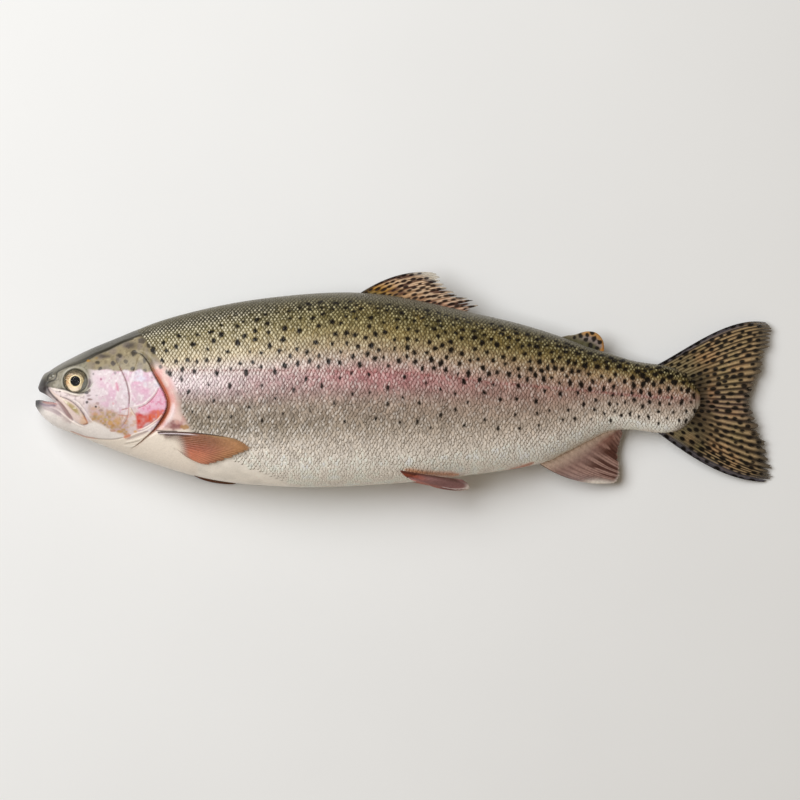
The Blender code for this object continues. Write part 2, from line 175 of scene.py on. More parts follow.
def inside(outline, x, y):
    """Distance to a closed outline, positive inside it."""
    line = np.vstack([outline, outline[:1]])
    far = np.abs(near(line, x, y)[0])
    crossings = np.zeros(x.shape, int)
    for a, b in zip(line, line[1:]):
        if a[1] != b[1]:
            hit = (y > min(a[1], b[1])) & (y <= max(a[1], b[1]))
            crossings += hit & (x < a[0] + (y - a[1]) / (b[1] - a[1]) * (b[0] - a[0]))
    return np.where(crossings % 2 == 1, far, -far)


def mottle(points, size, seed):
    """Smooth random values from 0 to 1 over space, in blotches of that size."""
    table = np.random.default_rng(seed).random((24, 24, 24))
    p = np.asarray(points) / size + 1000.0
    i = np.floor(p).astype(int)
    f = p - i
    f = f * f * (3 - 2 * f)
    total = 0.0
    for corner in np.ndindex(2, 2, 2):
        weight = np.prod(np.where(corner, f, 1 - f), axis=-1)
        k = (i + corner) % 24
        total = total + weight * table[k[..., 0], k[..., 1], k[..., 2]]
    return total


# The head's bones lie just below its skin: the edges of the gill cover, the cheek plate, the long
# jawbone at the side of the mouth and the ridge of the crown are all lines seen from the side.
GILL_EDGE = smooth_line([(59.5, 22.9), (64.7, 22.6), (69.4, 17.2), (72.0, 11.4), (74.6, 6.6),
                         (77.7, 0.9), (79.9, -4.9), (80.2, -9.4), (78.6, -13.8), (75.6, -18.8),
                         (72.0, -23.6), (68.0, -27.4), (62.5, -32.2), (57.0, -36.0)])
CHEEK_EDGE = smooth_line([(51.6, 15.0), (53.2, 12.0), (55.6, 6.6), (57.0, 1.3), (57.7, -3.5),
                          (57.5, -9.0), (57.2, -12.9), (55.8, -17.6), (52.4, -22.2)])
COVER_SEAM = smooth_line([(75.6, 2.7), (73.9, -0.8), (70.8, -5.0), (67.0, -8.1), (62.8, -9.4),
                          (58.2, -9.6)])
CROWN = smooth_line([(11.6, 9.2), (14.2, 11.7), (17.0, 13.4), (20.0, 15.2), (25.7, 16.9),
                     (31.2, 19.0), (36.0, 21.6), (44.0, 24.9), (52.7, 29.3), (60.0, 32.0),
                     (69.0, 35.4)])
EYE_CREASE = smooth_line([(13.4, 1.6), (17.6, 0.8), (20.8, -0.2), (24.1, -1.1), (27.4, -1.8),
                          (31.0, -0.8), (33.6, 2.2), (35.4, 4.6)])
JAWBONE = smooth_line([(8.3, 2.0), (11.8, -0.9), (15.4, -3.0), (20.8, -5.2), (25.7, -8.7),
                       (29.3, -13.4), (31.9, -18.0), (32.2, -19.6), (28.5, -20.2), (24.4, -18.0),
                       (20.6, -12.6), (16.8, -8.0), (12.0, -3.6)], closed=True)
SMALL_JAWBONE = smooth_line([(17.6, -5.6), (22.6, -7.6), (27.2, -11.8), (30.0, -16.4),
                             (26.6, -14.6), (22.0, -10.8)], closed=True)
THROAT_EDGE = smooth_line([(21.5, -24.2), (25.7, -25.9), (31.0, -27.8), (40.0, -29.1),
                           (49.0, -29.3), (55.0, -28.0)])
RED_PATCH = smooth_line([(61.3, -12.9), (66.8, -14.0), (74.1, -12.0), (78.2, -11.7), (76.6, -15.6),
                         (70.0, -19.4), (63.2, -22.7), (62.1, -18.6)], 4, closed=True)
SCALE_START = np.array([(-62, 170), (-52, 146), (-46.8, 131), (-40.7, 120), (-34.6, 109),
                        (-30, 101), (-25, 95), (-18.6, 91.9), (-12.4, 88.8), (-6.2, 87.5),
                        (0, 85.7), (5, 83.8), (10, 81.5), (15, 79), (18.7, 75.5), (25.6, 71),
                        (31.2, 66.5), (33.7, 63.9), (40, 61), (60, 59)], float)

# Creases, folds and streaks of the head, some of them painted shade or painted highlights as marked:
# display colour, strength, half width, height above the skin, then the points. Mirrored on the other side.
HEAD_LINES = [
    # The dark crown line is painted shade in the crease along the crown.
    ((34, 31, 18), 0.94, 0.72, -0.35, [(14.3, 12.2), (19.7, 15), (25.7, 16.8), (31.2, 18.8), (37.2, 22.2),
     (45.2, 25.6), (52.7, 29.3), (60, 32)]),
    ((36, 36, 34), 0.92, 0.46, -0.35, [(14.3, 12.6), (13.3, 11.2), (13, 9.2), (11.9, 6.9), (9.9, 6.2),
     (8, 5.5), (6.7, 4.1)]),
    ((38, 36, 34), 0.9, 0.44, -0.25, [(7.5, 6.6), (7.7, 8.8), (9.1, 10.7), (10.7, 11.3)]),
    ((70, 66, 58), 0.55, 0.3, -0.15, [(12.4, 6.3), (14.7, 7.5)]),
    ((186, 182, 166), 0.55, 0.35, 0.1, [(17.2, 8.6), (17.8, 11), (20.4, 13.6), (24.6, 14.8), (29, 14.2),
     (31.9, 11.6)]),
    ((60, 46, 48), 0.85, 0.85, -0.3, [(7.4, 1.6), (9.4, -1.2), (11, -3.2), (12.7, -4.9), (14.3, -6.4)]),
    # Painted shade in the fold between the long jawbone and the lower jaw.
    ((160, 132, 130), 0.88, 1.05, -0.55, [(13.2, -5.9), (15.6, -8.3), (18, -11.2), (20.4, -14.6),
     (22.9, -17.8)]),
    ((118, 92, 98), 0.6, 0.35, -0.2, [(14.2, -7.6), (16.9, -10.8), (19.2, -14.4), (21.6, -17.3)]),
    ((226, 206, 196), 0.85, 0.42, 0.22, [(9, 0.6), (11.4, -2), (14.3, -3.9), (16.5, -6.1), (18.1, -8.3),
     (19.7, -10.4), (21.6, -13.4), (23.4, -16)]),
    ((240, 230, 205), 0.7, 0.32, 0.1, [(15.4, -3.6), (17.6, -5.4), (19.8, -8)]),
    ((62, 42, 44), 0.9, 0.36, -0.4, [(15.4, -3.1), (20.8, -5.2), (25.7, -8.8), (29.3, -13.4),
     (31.5, -17.6)]),
    ((246, 236, 230), 0.65, 0.4, 0.15, [(22.2, -4.6), (25.8, -7), (28.6, -10), (30.9, -13.2), (33.6, -17),
     (36, -19.4)]),
    ((150, 138, 138), 0.4, 0.3, -0.12, [(24.4, -5), (27.4, -7.4), (30, -10.4), (32.4, -13.8)]),
    ((250, 240, 230), 0.92, 0.55, 0.18, [(9.8, 1.9), (12.2, 1), (14.8, 0.5), (17.6, 0.1), (20.8, -0.9),
     (24.1, -1.9), (27.4, -2.5), (30.2, -2.2)]),
    ((50, 42, 36), 0.92, 0.5, -0.35, [(14, 1.8), (18.1, 1.2), (20.8, 0.4), (23.6, -0.5), (26.3, -1.1),
     (29.6, -0.8), (31.6, 0)]),
    ((238, 236, 228), 0.7, 0.26, 0.08, [(35.6, 4.9), (33.9, 2.2), (31.7, 0.5), (30, -0.9)]),
    ((118, 102, 112), 0.75, 1, -0.2, [(32.9, 7.4), (33.6, 4.9), (32.4, 2.3)]),
    # The lower lip's pale line: partly the lip's own pale colour, partly a painted highlight on its ridge.
    ((252, 238, 230), 0.85, 0.48, 0.25, [(6.4, -9.3), (11.3, -10.6), (14.3, -11.9), (18.9, -15.5),
     (22, -18), (26.3, -20.6), (29.6, -21.8)]),
    ((104, 88, 112), 0.7, 0.75, -0.3, [(2.6, -7.1), (5, -8.2), (7.7, -8.8), (10.5, -8.6), (12.6, -9)]),
    ((176, 152, 160), 0.55, 0.6, -0.22, [(4, -9.8), (7.2, -11.2), (9.4, -11.9), (12.1, -13.2),
     (16, -15.6)]),
    ((172, 96, 90), 0.65, 0.62, 0.05, [(4.6, -6.6), (8, -7.2), (9.9, -7.2), (11.8, -7.3), (13.4, -8.2)]),
    # A broad mauve band of painted shade under the long jawbone and the lip.
    ((160, 138, 152), 0.55, 1.3, 0, [(4.4, -8.4), (8, -9.6), (12, -11.4), (15.6, -14)]),
    ((188, 112, 78), 0.75, 0.42, -0.4, [(21.5, -24.3), (25.7, -25.9), (31, -27.8), (38, -29)]),
    ((140, 118, 98), 0.6, 0.35, -0.4, [(36, -28.8), (43, -29.4), (49, -29.3), (54, -28.2)]),
    ((128, 76, 78), 0.9, 0.4, -0.4, [(51.8, 14.8), (53.2, 12), (55.6, 6.6), (57, 1.3), (57.7, -3.5),
     (57.5, -9)]),
    # A painted highlight along the raised edge of the cheek plate.
    ((255, 244, 246), 0.7, 0.4, 0.12, [(56.9, 5.5), (58.3, 1.3), (58.8, -2.9), (58.5, -6.6)]),
    ((218, 150, 132), 0.7, 0.32, -0.15, [(57.4, -9.4), (57.3, -12.7), (56.5, -16.2), (54.8, -19.7),
     (52.5, -22.2)]),
    ((244, 222, 212), 0.6, 0.3, 0.1, [(56.4, -10.5), (55.3, -15), (53.2, -18.9)]),
    ((166, 82, 70), 0.75, 0.36, -0.15, [(52.8, -11.5), (54.8, -10.9), (56.8, -10.5)]),
    ((186, 118, 88), 0.7, 0.45, -0.1, [(50.6, -14.4), (53.7, -14.9), (56.8, -15)]),
    ((240, 220, 188), 0.7, 0.32, 0.15, [(58, -10), (59.2, -12.4), (61, -15.3)]),
    ((150, 96, 80), 0.6, 0.28, -0.12, [(58.6, -10), (60.1, -12.7), (61.9, -14.9)]),
    ((252, 240, 234), 0.7, 0.34, 0.15, [(58.8, -9.4), (62.8, -8.8), (66.3, -7.5), (69.8, -4.8),
     (72.8, -1.4), (74.9, 2.4)]),
    ((176, 62, 84), 0.75, 0.3, -0.28, [(62.4, -10.6), (66, -9.2), (68.8, -7.6), (71.6, -5), (73.9, -1.9),
     (75.7, 1.4)]),
    ((252, 232, 214), 0.85, 0.38, 0.2, [(62.8, -23.6), (67, -22.5), (71.3, -19.8), (75.1, -17),
     (77.4, -14.4)]),
    ((150, 84, 78), 0.6, 0.24, -0.15, [(66, -22), (70.5, -19.6), (75, -16.6)]),
    ((252, 240, 226), 0.85, 0.42, 0.22, [(58.2, -27.4), (62.1, -25.6), (66, -24.5), (70.5, -22.1),
     (74.1, -19.3)]),
    ((172, 150, 150), 0.65, 0.85, -0.2, [(56.4, -29.2), (60, -28), (64.5, -26.3), (69, -24.4)]),
    ((250, 240, 228), 0.8, 0.4, 0.2, [(55.2, -31.2), (60.7, -29.8), (66, -27.9)]),
    ((150, 138, 120), 0.5, 0.3, -0.15, [(54.8, -32.2), (60, -31.2), (64.2, -30)]),
    ((250, 242, 230), 0.6, 0.36, 0.15, [(54, -33.3), (58.6, -33.6), (61.8, -32.6)]),
    ((206, 112, 148), 0.75, 0.95, 0, [(49.7, 5.2), (50.2, 3), (50.9, 0.2)]),
    ((212, 120, 80), 0.85, 1.1, 0.05, [(54.4, -28), (56.4, -27.5), (58.2, -26.7)]),
    ((52, 34, 28), 0.92, 0.5, -0.2, [(74, -23.9), (78, -24.4), (82, -24.6), (87, -24.5)]),
    ((150, 130, 116), 0.55, 2, 0, [(79, -26.9), (82, -27.6), (86, -28.6), (90, -29.8)]),
    ((244, 228, 230), 0.75, 1.3, 0.1, [(84.6, -8), (84.2, -13), (82.4, -17), (78.6, -21.6)]),
    ((192, 122, 82), 0.8, 0.5, 0, [(29.6, -15), (31.4, -17.8), (31.7, -19.6), (29.4, -20.2)]),
]

# Dark and coloured marks of the head: x, y, half length, half height, display colour, strength.
OLIVE_MARK, PLUM_MARK, BLACK_MARK = (42, 36, 31), (66, 58, 57), (30, 18, 20)
HEAD_MARKS = [
    (41.6, 21.4, 4.2, 1.3, PLUM_MARK, 0.85), (51.7, 21.8, 1.9, 1.5, OLIVE_MARK, 0.85),
    (58.2, 28, 3.9, 2.2, PLUM_MARK, 0.88), (69.5, 28.2, 1.6, 1.9, OLIVE_MARK, 0.85),
    (72.9, 23.4, 1.7, 1.6, OLIVE_MARK, 0.85), (60.2, 23.3, 2, 1.8, OLIVE_MARK, 0.9),
    (65.2, 30.8, 2.4, 1.6, PLUM_MARK, 0.8), (38, 17.5, 1.6, 1.1, OLIVE_MARK, 0.85),
    (39.9, 13.8, 1.4, 1.2, OLIVE_MARK, 0.85), (47.7, 17, 1.3, 1.7, PLUM_MARK, 0.9),
    (50.4, 18.8, 1.3, 1.6, PLUM_MARK, 0.5), (55.5, 18.1, 1.3, 1.3, OLIVE_MARK, 0.7),
    (59.8, 13.5, 1.4, 1.3, OLIVE_MARK, 0.85), (67.3, 12.8, 1.3, 1.1, OLIVE_MARK, 0.65),
    (67, 18.7, 1.2, 1.8, OLIVE_MARK, 0.75), (48.9, 11, 1, 0.9, OLIVE_MARK, 0.5),
    (35.8, 10.6, 0.8, 1, OLIVE_MARK, 0.55), (40.4, 7.3, 0.8, 0.8, (160, 70, 110), 0.8),
    (61.1, 5.5, 0.7, 0.6, (190, 120, 160), 0.6), (61.6, 11, 0.8, 0.9, (170, 150, 175), 0.5),
    (47.8, -7.5, 0.8, 0.7, (205, 110, 130), 0.5), (37.2, -9.4, 0.72, 0.75, BLACK_MARK, 0.95),
    (31.8, -6.7, 0.75, 0.8, BLACK_MARK, 0.85), (33.6, -4.9, 1.5, 0.6, (110, 70, 62), 0.75),
    (31.4, -0.8, 1.2, 1, BLACK_MARK, 0.85), (33.3, 0.6, 0.8, 1.2, (92, 74, 54), 0.75),
    (32.8, -2.6, 1.4, 0.7, (120, 84, 92), 0.55), (41.5, -3.3, 0.7, 0.4, (170, 130, 150), 0.5),
    (37.6, -2.6, 0.8, 0.5, (130, 120, 130), 0.5), (36, -10.6, 1.8, 1, (200, 160, 130), 0.5),
    (39.2, -9.8, 0.5, 0.4, (140, 80, 70), 0.6), (71.6, 8.3, 0.8, 0.6, (130, 124, 110), 0.6),
    (80.7, 11.8, 1.3, 1.7, OLIVE_MARK, 0.8), (76.6, 14.6, 1.3, 1.5, OLIVE_MARK, 0.8),
    (46, -19.4, 1.5, 1.4, (206, 158, 76), 0.75), (43.4, -17.3, 1.2, 0.9, (200, 178, 110), 0.7),
    (47.6, -20.9, 0.9, 0.9, (190, 132, 78), 0.7), (51.6, -24.6, 1.8, 0.9, (196, 152, 92), 0.7),
    (47.4, -24, 1.7, 0.8, (184, 124, 98), 0.65), (40.6, -15.4, 2.2, 1, (198, 166, 120), 0.65),
    (36.6, -14, 1.9, 1, (206, 158, 128), 0.65), (42.6, -20.4, 0.8, 0.6, (120, 116, 96), 0.6),
    (58.6, -22.6, 1.6, 2.6, (212, 196, 196), 0.5), (61.4, -24.6, 1.2, 0.7, (222, 160, 80), 0.7),
    # The two pale dots by the nostril on this line are painted highlights.
    (6.3, 1.8, 1.7, 1.4, (38, 30, 30), 0.85), (10.9, 9.3, 0.55, 0.5, (225, 225, 215), 0.9),
    (9.2, 8.3, 0.8, 0.55, (178, 172, 158), 0.8), (10.2, 8.9, 1.7, 0.5, (60, 58, 54), 0.4),
    (32.7, 18.5, 1.5, 0.7, (176, 130, 46), 0.85), (37.6, 20.2, 1, 0.5, (150, 116, 50), 0.6),
    (85.6, -20.6, 4.4, 3, (134, 74, 76), 0.9), (91.5, -21.8, 2.4, 1.6, (176, 132, 80), 0.85),
    (86.6, -19, 1.6, 1.6, (226, 176, 164), 0.6), (62.2, 5, 2.2, 0.9, (226, 168, 196), 0.6),
    (67, 0.2, 3.4, 1.8, (224, 164, 194), 0.55), (66, 7.6, 3, 2, (216, 214, 236), 0.6),
    (38, -7.4, 1.3, 1, (150, 112, 104), 0.6), (45.6, -12.6, 1.6, 1, (190, 150, 96), 0.6),
    (50.4, -18.6, 2, 2.6, (206, 156, 80), 0.6), (48, -14, 1.4, 1.4, (150, 128, 84), 0.6),
    (54.2, -21, 1.4, 1.4, (190, 166, 176), 0.6), (40.4, -11.6, 1.2, 0.9, (136, 104, 86), 0.55),
    (12.2, 3.6, 1.8, 1.2, (182, 176, 162), 0.6), (15, -0.2, 0.9, 0.5, (74, 52, 46), 0.7),
]


def behind_scale_start(x, y):
    """How far a place lies behind the line where the scales begin."""
    return x - np.interp(y, SCALE_START[:, 0], SCALE_START[:, 1])


def stroke(points, half_width, x, y):
    """How much of a line of that half width is at each place, 0 to 1, thinning out at its ends."""
    line = smooth_line(points, 4)
    low, high = line.min(0) - 3 * half_width, line.max(0) + 3 * half_width
    close = np.flatnonzero((x > low[0]) & (x < high[0]) & (y > low[1]) & (y < high[1]))
    mark = np.zeros(len(x))
    far, share = near(line, x[close], y[close])
    width = half_width * (0.45 + 0.55 * step(0.0, 0.18, share) * step(1.0, 0.82, share))
    mark[close] = np.exp(-(far / width) ** 2)
    return mark


# The markings: dark olive on the back, yellowish above the lateral line, pink along it, silver below
# and cream under the belly, with black spots. The skin and every scale take their colours from the
# same functions of their place on the fish.


def tone(*values):
    """Linear colour of a display colour."""
    c = np.array(values, float) / 255.0
    return np.where(c <= 0.04045, c / 12.92, ((c + 0.055) / 1.055) ** 2.4)


def mix(a, b, share):
    """From a, where share is 0, to b, where it is 1."""
    return a + (b - a) * np.asarray(share)[..., None]


class Glaze:
    """The colours of a set of places, built up from thin layers of display colours."""

    def __init__(self, shade, shape):
        self.colour = np.broadcast_to(tone(*shade), (*shape, 3))

    def add(self, shade, share):
        self.colour = mix(self.colour, tone(*shade), share)


LATERAL_LINE = np.array([(60, 13.6), (80, 13.0), (100, 12.7), (161, 12.6), (221, 11.5), (251, 8.7),
                         (274, 5.7), (330, 0.9), (375, -3.5), (406, -4.6)], float)
# The flank's bands from belly to back: name, share of the body's height, then the colour in front and
# the colour towards the tail.
FLANK_BANDS = [
    ("belly", 0.00, (252, 243, 230), (252, 243, 231)),
    ("white side", 0.12, (253, 245, 234), (254, 247, 237)),
    ("silver", 0.22, (222, 212, 200), (226, 212, 198)),
    ("grey flank", 0.32, (148, 136, 120), (198, 181, 166)),
    ("lower flank", 0.42, (158, 144, 130), (180, 156, 142)),
    ("stripe's foot", 0.50, (168, 142, 140), (166, 134, 122)),
    ("rose stripe", 0.57, (190, 156, 160), (168, 132, 116)),
    ("stripe's top", 0.64, (206, 186, 180), (170, 139, 116)),
    ("sand", 0.72, (176, 158, 126), (158, 130, 102)),
    ("olive", 0.81, (138, 124, 84), (118, 99, 57)),
    ("green back", 0.89, (96, 87, 48), (78, 67, 32)),
    ("dark ridge", 0.94, (48, 42, 18), (84, 77, 54)),
    # The pale grey rim along the top of the back is a painted sheen.
    ("rim", 1.00, (126, 120, 104), (160, 157, 148)),
]


def band_colour(x, y):
    """The colour of the flank without its spots."""
    back, belly = body_at(x)[:2]
    share = np.clip((y - belly) / (back - belly), 0.0, 1.0)
    heights = [band[1] for band in FLANK_BANDS]
    front, rear = (tone(*(np.interp(share, heights, channel) for channel in zip(*shades))).T
                   for shades in zip(*(band[2:] for band in FLANK_BANDS)))
    colour = mix(front, rear, np.interp(x, [120, 330], [0, 1]))
    stripe = np.exp(-((share - 0.565) / 0.06) ** 2)
    colour = mix(colour, tone(188, 122, 126), 0.75 * stripe * np.exp(-((x - 215) / 50) ** 2))
    return mix(colour, tone(236, 220, 226), 0.8 * stripe * step(140, 95, x))


def head_colour(x, y, blotch, fine):
    """The colour of the head. blotch and fine are mottling from 0 to 1."""
    glaze = Glaze((218, 203, 208), x.shape)
    crown = near(CROWN, x, y)[0]
    rose = step(0.45, 0.78, blotch) * step(34, 44, x) * step(-16, -6, y)
    glaze.add((216, 166, 194), 0.65 * rose)
    lilac = step(0.42, 0.75, 1 - blotch) * step(50, 62, x) * step(-10, -4, y)
    glaze.add((216, 208, 226), 0.6 * lilac)
    glaze.add((206, 158, 184), 0.5 * step(0.58, 0.85, fine) * step(34, 44, x))
    glaze.add((238, 226, 232), 0.7 * step(0.40, 0.18, fine) * step(34, 44, x))
    # The lower cheek is amber down to the edge of the jaw.
    amber = step(-7.0, -14.0, y + 0.35 * (x - 40)) * step(31, 36, x) * step(58.5, 56.0, x)
    glaze.add((190, 160, 134), 0.85 * amber)
    glaze.add((186, 144, 84), 0.7 * amber * step(0.48, 0.75, fine))
    glaze.add((146, 126, 84), 0.6 * amber * step(0.55, 0.8, blotch) * step(52, 44, x))
    glaze.add((206, 178, 186), 0.7 * amber * step(0.44, 0.26, fine))
    plate = step(55.5, 59.0, x) * step(64.5, 61.0, x) * step(-9.0, -12.5, y)
    glaze.add((222, 202, 198), 0.8 * plate)
    glaze.add((206, 160, 120), 0.5 * plate * step(0.5, 0.8, fine))
    # Above the cheek it is olive-beige, with a wavy border.
    olive = step(11.8, 13.4, y + 2.4 * (blotch - 0.5)) * step(24, 30, x)
    glaze.add((150, 137, 105), 0.96 * olive)
    glaze.add((116, 106, 80), 0.55 * olive * step(0.45, 0.8, fine))
    glaze.add((128, 116, 112), 0.55 * olive * step(0.5, 0.8, 1 - blotch))
    glaze.add((194, 184, 150), 0.5 * olive * step(0.6, 0.85, blotch) * step(0.5, 0.3, fine))
    # The skin round the eye and in front of it is olive-grey.
    face = (step(39, 33, x + 0.25 * y + 3 * (blotch - 0.5))
            * step(-0.6, 0.8, near(EYE_CREASE, x, y)[0] + 0.4))
    glaze.add((148, 143, 124), 0.92 * face)
    glaze.add((108, 104, 90), 0.5 * face * step(0.4, 0.8, fine))
    before = step(31.5, 29.5, x) * step(0.6, -0.8, near(EYE_CREASE, x, y)[0])
    glaze.add((224, 208, 206), 0.9 * before)
    glaze.add((160, 142, 146), 0.6 * before * step(0.5, 0.85, fine))
    # The lower jaw and the throat are greyish white.
    jaw_edge = np.interp(x, [0, 8, 14, 20, 24, 30, 36, 42, 50, 56, 64],
                         [-4, -8.6, -10.5, -15, -18.6, -21.4, -18.4, -21.2, -25.6, -28.2, -26.0])
    jaw = step(1.3, -1.1, y - jaw_edge + 1.6 * (blotch - 0.5) * step(28, 34, x)) * step(68, 60, x)
    glaze.add((240, 232, 227), jaw)
    glaze.add((222, 215, 211), 0.5 * jaw * step(0.45, 0.8, blotch))
    throat = step(0.3, -0.5, near(THROAT_EDGE, x, y)[0]) * step(-22, -26, y)
    glaze.add((240, 228, 214), throat)
    snout = step(12.5, 5.0, x - 0.1 * y) * step(-5.0, -2.0, y + 0.45 * x)
    glaze.add((46, 42, 42), 0.96 * snout)
    # Over the crown the head is dark olive, turning pale grey towards its top edge: that paler edge is a
    # painted sheen.
    top = step(-0.2, 0.9, crown) * step(5.0, 9.0, y) * step(8.0, 14.0, x + y)
    top_sheen = step(0.88, 0.99, (y - body_at(x)[1]) / (body_at(x)[0] - body_at(x)[1]))
    edge = mix(tone(124, 121, 113), tone(84, 81, 72), step(22, 40, x))
    low = mix(tone(96, 93, 82), tone(50, 47, 35), step(20, 34, x))
    glaze.colour = mix(glaze.colour, mix(low, edge, top_sheen), top)
    # Painted shade darkens the crease along the crown.
    seam = np.exp(-((crown - 0.5) / 0.55) ** 2) * step(22, 32, x)
    glaze.add((28, 24, 12), 0.85 * seam)
    chin = step(8.2, 0.8, np.hypot(x - 0.4, 0.8 * (y + 6.6)))
    glaze.add((22, 24, 32), 0.97 * chin)
    # The gill cover's lower rear part is pink and red, and the slit behind it brown-orange, partly
    # painted shadow under the cover's raised edge and painted shade deeper in.
    seam = near(COVER_SEAM, x, y)[0]
    pink = step(-0.4, 1.5, seam) * step(61, 65, x) * step(84, 79, x) * step(-15.0, -12.0, y)
    glaze.add((230, 170, 198), pink * (0.55 + 0.5 * blotch))
    glaze.add((216, 124, 158), 0.6 * pink * step(0.5, 0.8, fine))
    red = step(-1.2, 1.2, inside(RED_PATCH, x, y) + 2.4 * (blotch - 0.5))
    glaze.add((208, 78, 62), 0.92 * red * (0.72 + 0.5 * fine))
    glaze.add((228, 128, 84), 0.6 * red * step(0.4, 0.7, fine) * step(66, 76, x))
    glaze.add((204, 84, 122), 0.6 * red * step(-15.4, -13.0, y) * step(71.0, 67.0, x))
    eye = np.hypot(x - EYE_CENTRE[0], y - EYE_CENTRE[1])
    # The dark ring round the eye is partly the lid's dark skin, partly painted shade in the socket.
    glaze.add((58, 56, 44), 0.9 * step(8.1, 7.2, eye))
    glaze.add((176, 172, 156), 0.6 * np.exp(-((eye - 8.35) / 0.35) ** 2))
    gill, along = near(GILL_EDGE, x, y)
    glaze.add((60, 58, 46), 0.8 * np.exp(-((gill + 0.1) / 0.5) ** 2) * step(0.02, 0.08, along)
              * step(0.42, 0.30, along))
    behind = step(1.2, 2.6, gill) * step(58, 63, x) * step(19, 12, y - 0.2 * (x - 72))
    glaze.add((238, 208, 200), behind)
    glaze.add((228, 160, 156), 0.65 * behind * step(0.45, 0.8, blotch) * step(-26, -20, y))
    breast = step(1.0, 2.4, gill) * step(-22.5, -25.5, y - 0.1 * (x - 80))
    glaze.add((246, 234, 220), breast)
    width = np.interp(along, [0, 0.12, 0.3, 0.5, 0.66, 0.76, 0.84, 1.0],
                      [0.7, 1.2, 2.4, 2.9, 2.7, 1.6, 0.7, 0.4])
    slit = step(-0.15, 0.35, gill) * step(1.35, 0.6, gill / width) * step(0.14, 0.28, along)
    slit = slit * step(1.0, 0.9, along)
    # The slit's brown-orange is partly its own colour and partly painted shadow under the cover's raised
    # edge; deeper in, painted shade darkens it.
    shade = mix(tone(176, 86, 48), tone(214, 131, 97), step(0.55, 1.1, gill / width))
    glaze.colour = mix(glaze.colour, shade, slit * np.interp(along, [0.7, 0.85, 1.0], [1, 0.6, 0.3]))
    depth = slit * step(0.40, 0.05, gill / width) * np.interp(along, [0, 0.76, 0.86], [1, 1.0, 0.2])
    slit_depth_shade = mix(tone(76, 38, 24), tone(170, 108, 78), step(-20, -25, y))
    glaze.colour = mix(glaze.colour, slit_depth_shade, 0.85 * depth)
    lip = stroke([(12.8, -2.6), (17.0, -8.8), (22.4, -17.6)], 1.1, x, y)
    glaze.add((134, 98, 96), 0.9 * lip)
    mouth = stroke([(11.0, -8.6), (16.6, -13.2), (21.4, -18.6)], 2.6, x, y)
    glaze.add((176, 148, 148), 0.6 * mouth)
    bone = step(-0.3, 0.4, inside(JAWBONE, x, y))
    glaze.add((226, 204, 197), bone)
    small = step(-0.4, 0.6, inside(SMALL_JAWBONE, x, y))
    glaze.add((166, 146, 92), 0.9 * small * step(28.5, 25.5, x))
    glaze.add((222, 216, 196), 0.7 * small * step(0.55, 0.8, fine))
    glaze.add((222, 182, 146), 0.7 * bone * step(26.5, 30.0, x - 0.3 * (y + 16)))
    for shade, strength, half_width, _, points in HEAD_LINES:
        glaze.add(shade, strength * stroke(points, half_width, x, y))
    return glaze.colour


def add_head_marks(colour, x, y, fine):
    """The head's dark and coloured marks laid over its colour."""
    for cx, cy, long, tall, shade, strength in HEAD_MARKS:
        close = np.flatnonzero((np.abs(x - cx) < 2 * long) & (np.abs(y - cy) < 2 * tall))
        far = np.hypot((x[close] - cx) / long, (y[close] - cy) / tall) + 0.8 * (fine[close] - 0.5)
        soft = 0.75 if max(long, tall) > 2.4 else 0.35
        colour[close] = mix(colour[close], tone(*shade), strength * step(0.9 + soft, 0.9 - soft, far))
    return colour


def spot_gap(x, share):
    """The usual distance between black spots, by place. Nothing under the belly."""
    upper = np.interp(x, [60, 90, 150, 250, 320, 400], [6.2, 6.6, 6.4, 5.6, 4.9, 4.4])
    lower = np.interp(x, [60, 150, 250, 320, 350, 400], [9.0, 12.0, 10.5, 8.0, 5.6, 4.8])
    return lower + (upper - lower) * step(0.50, 0.66, share)


SPOT_TRIES = 16000        # places of a flank where a black spot is tried


def scatter_spots(seed):
    """Black spots of one flank: x, y, half length, half height and slant of each."""
    rng = np.random.default_rng(seed)
    found = []
    for _ in range(SPOT_TRIES):
        x, share = rng.uniform(62, 404), rng.uniform(0.12, 0.985)
        back, belly = (float(v) for v in body_at(np.float64(x))[:2])
        y = belly + share * (back - belly)
        lowest = np.interp(x, [100, 200, 320, 360], [0.36, 0.30, 0.26, 0.10])
        highest = np.interp(x, [60, 120, 170, 400], [0.86, 0.89, 0.955, 0.955])
        if behind_scale_start(x, y) < 1 or share < lowest or share > highest:
            continue
        # Low on the flank half of them are left out.
        if share < 0.46 and x < 320 and rng.random() > 0.5:
            continue
        # The flank turns away near the back, so distances across it count for more there.
        lean = 1.0 + 1.6 * step(0.8, 1.0, share)
        gap = spot_gap(x, share) * rng.uniform(0.8, 1.25)
        if found:
            others = np.array(found)
            if np.hypot(others[:, 0] - x, (others[:, 1] - y) * lean).min() < gap:
                continue
        size = np.interp(share, [0.2, 0.45, 0.6, 0.8, 0.98], [0.62, 0.72, 0.9, 1.2, 1.25])
        size *= np.interp(x, [60, 250, 380], [1.05, 1.15, 1.3]) * rng.uniform(0.75, 1.2)
        tall = np.interp(share, [0.3, 0.6, 0.75], [1.5, 1.7, 1.15]) * rng.uniform(0.85, 1.2)
        found.append((x, y, size * 1.12, size * tall / lean, rng.uniform(-0.35, 0.35)))
    return np.array(found)


FLANK_SPOTS = {1: scatter_spots(11), -1: scatter_spots(12)}


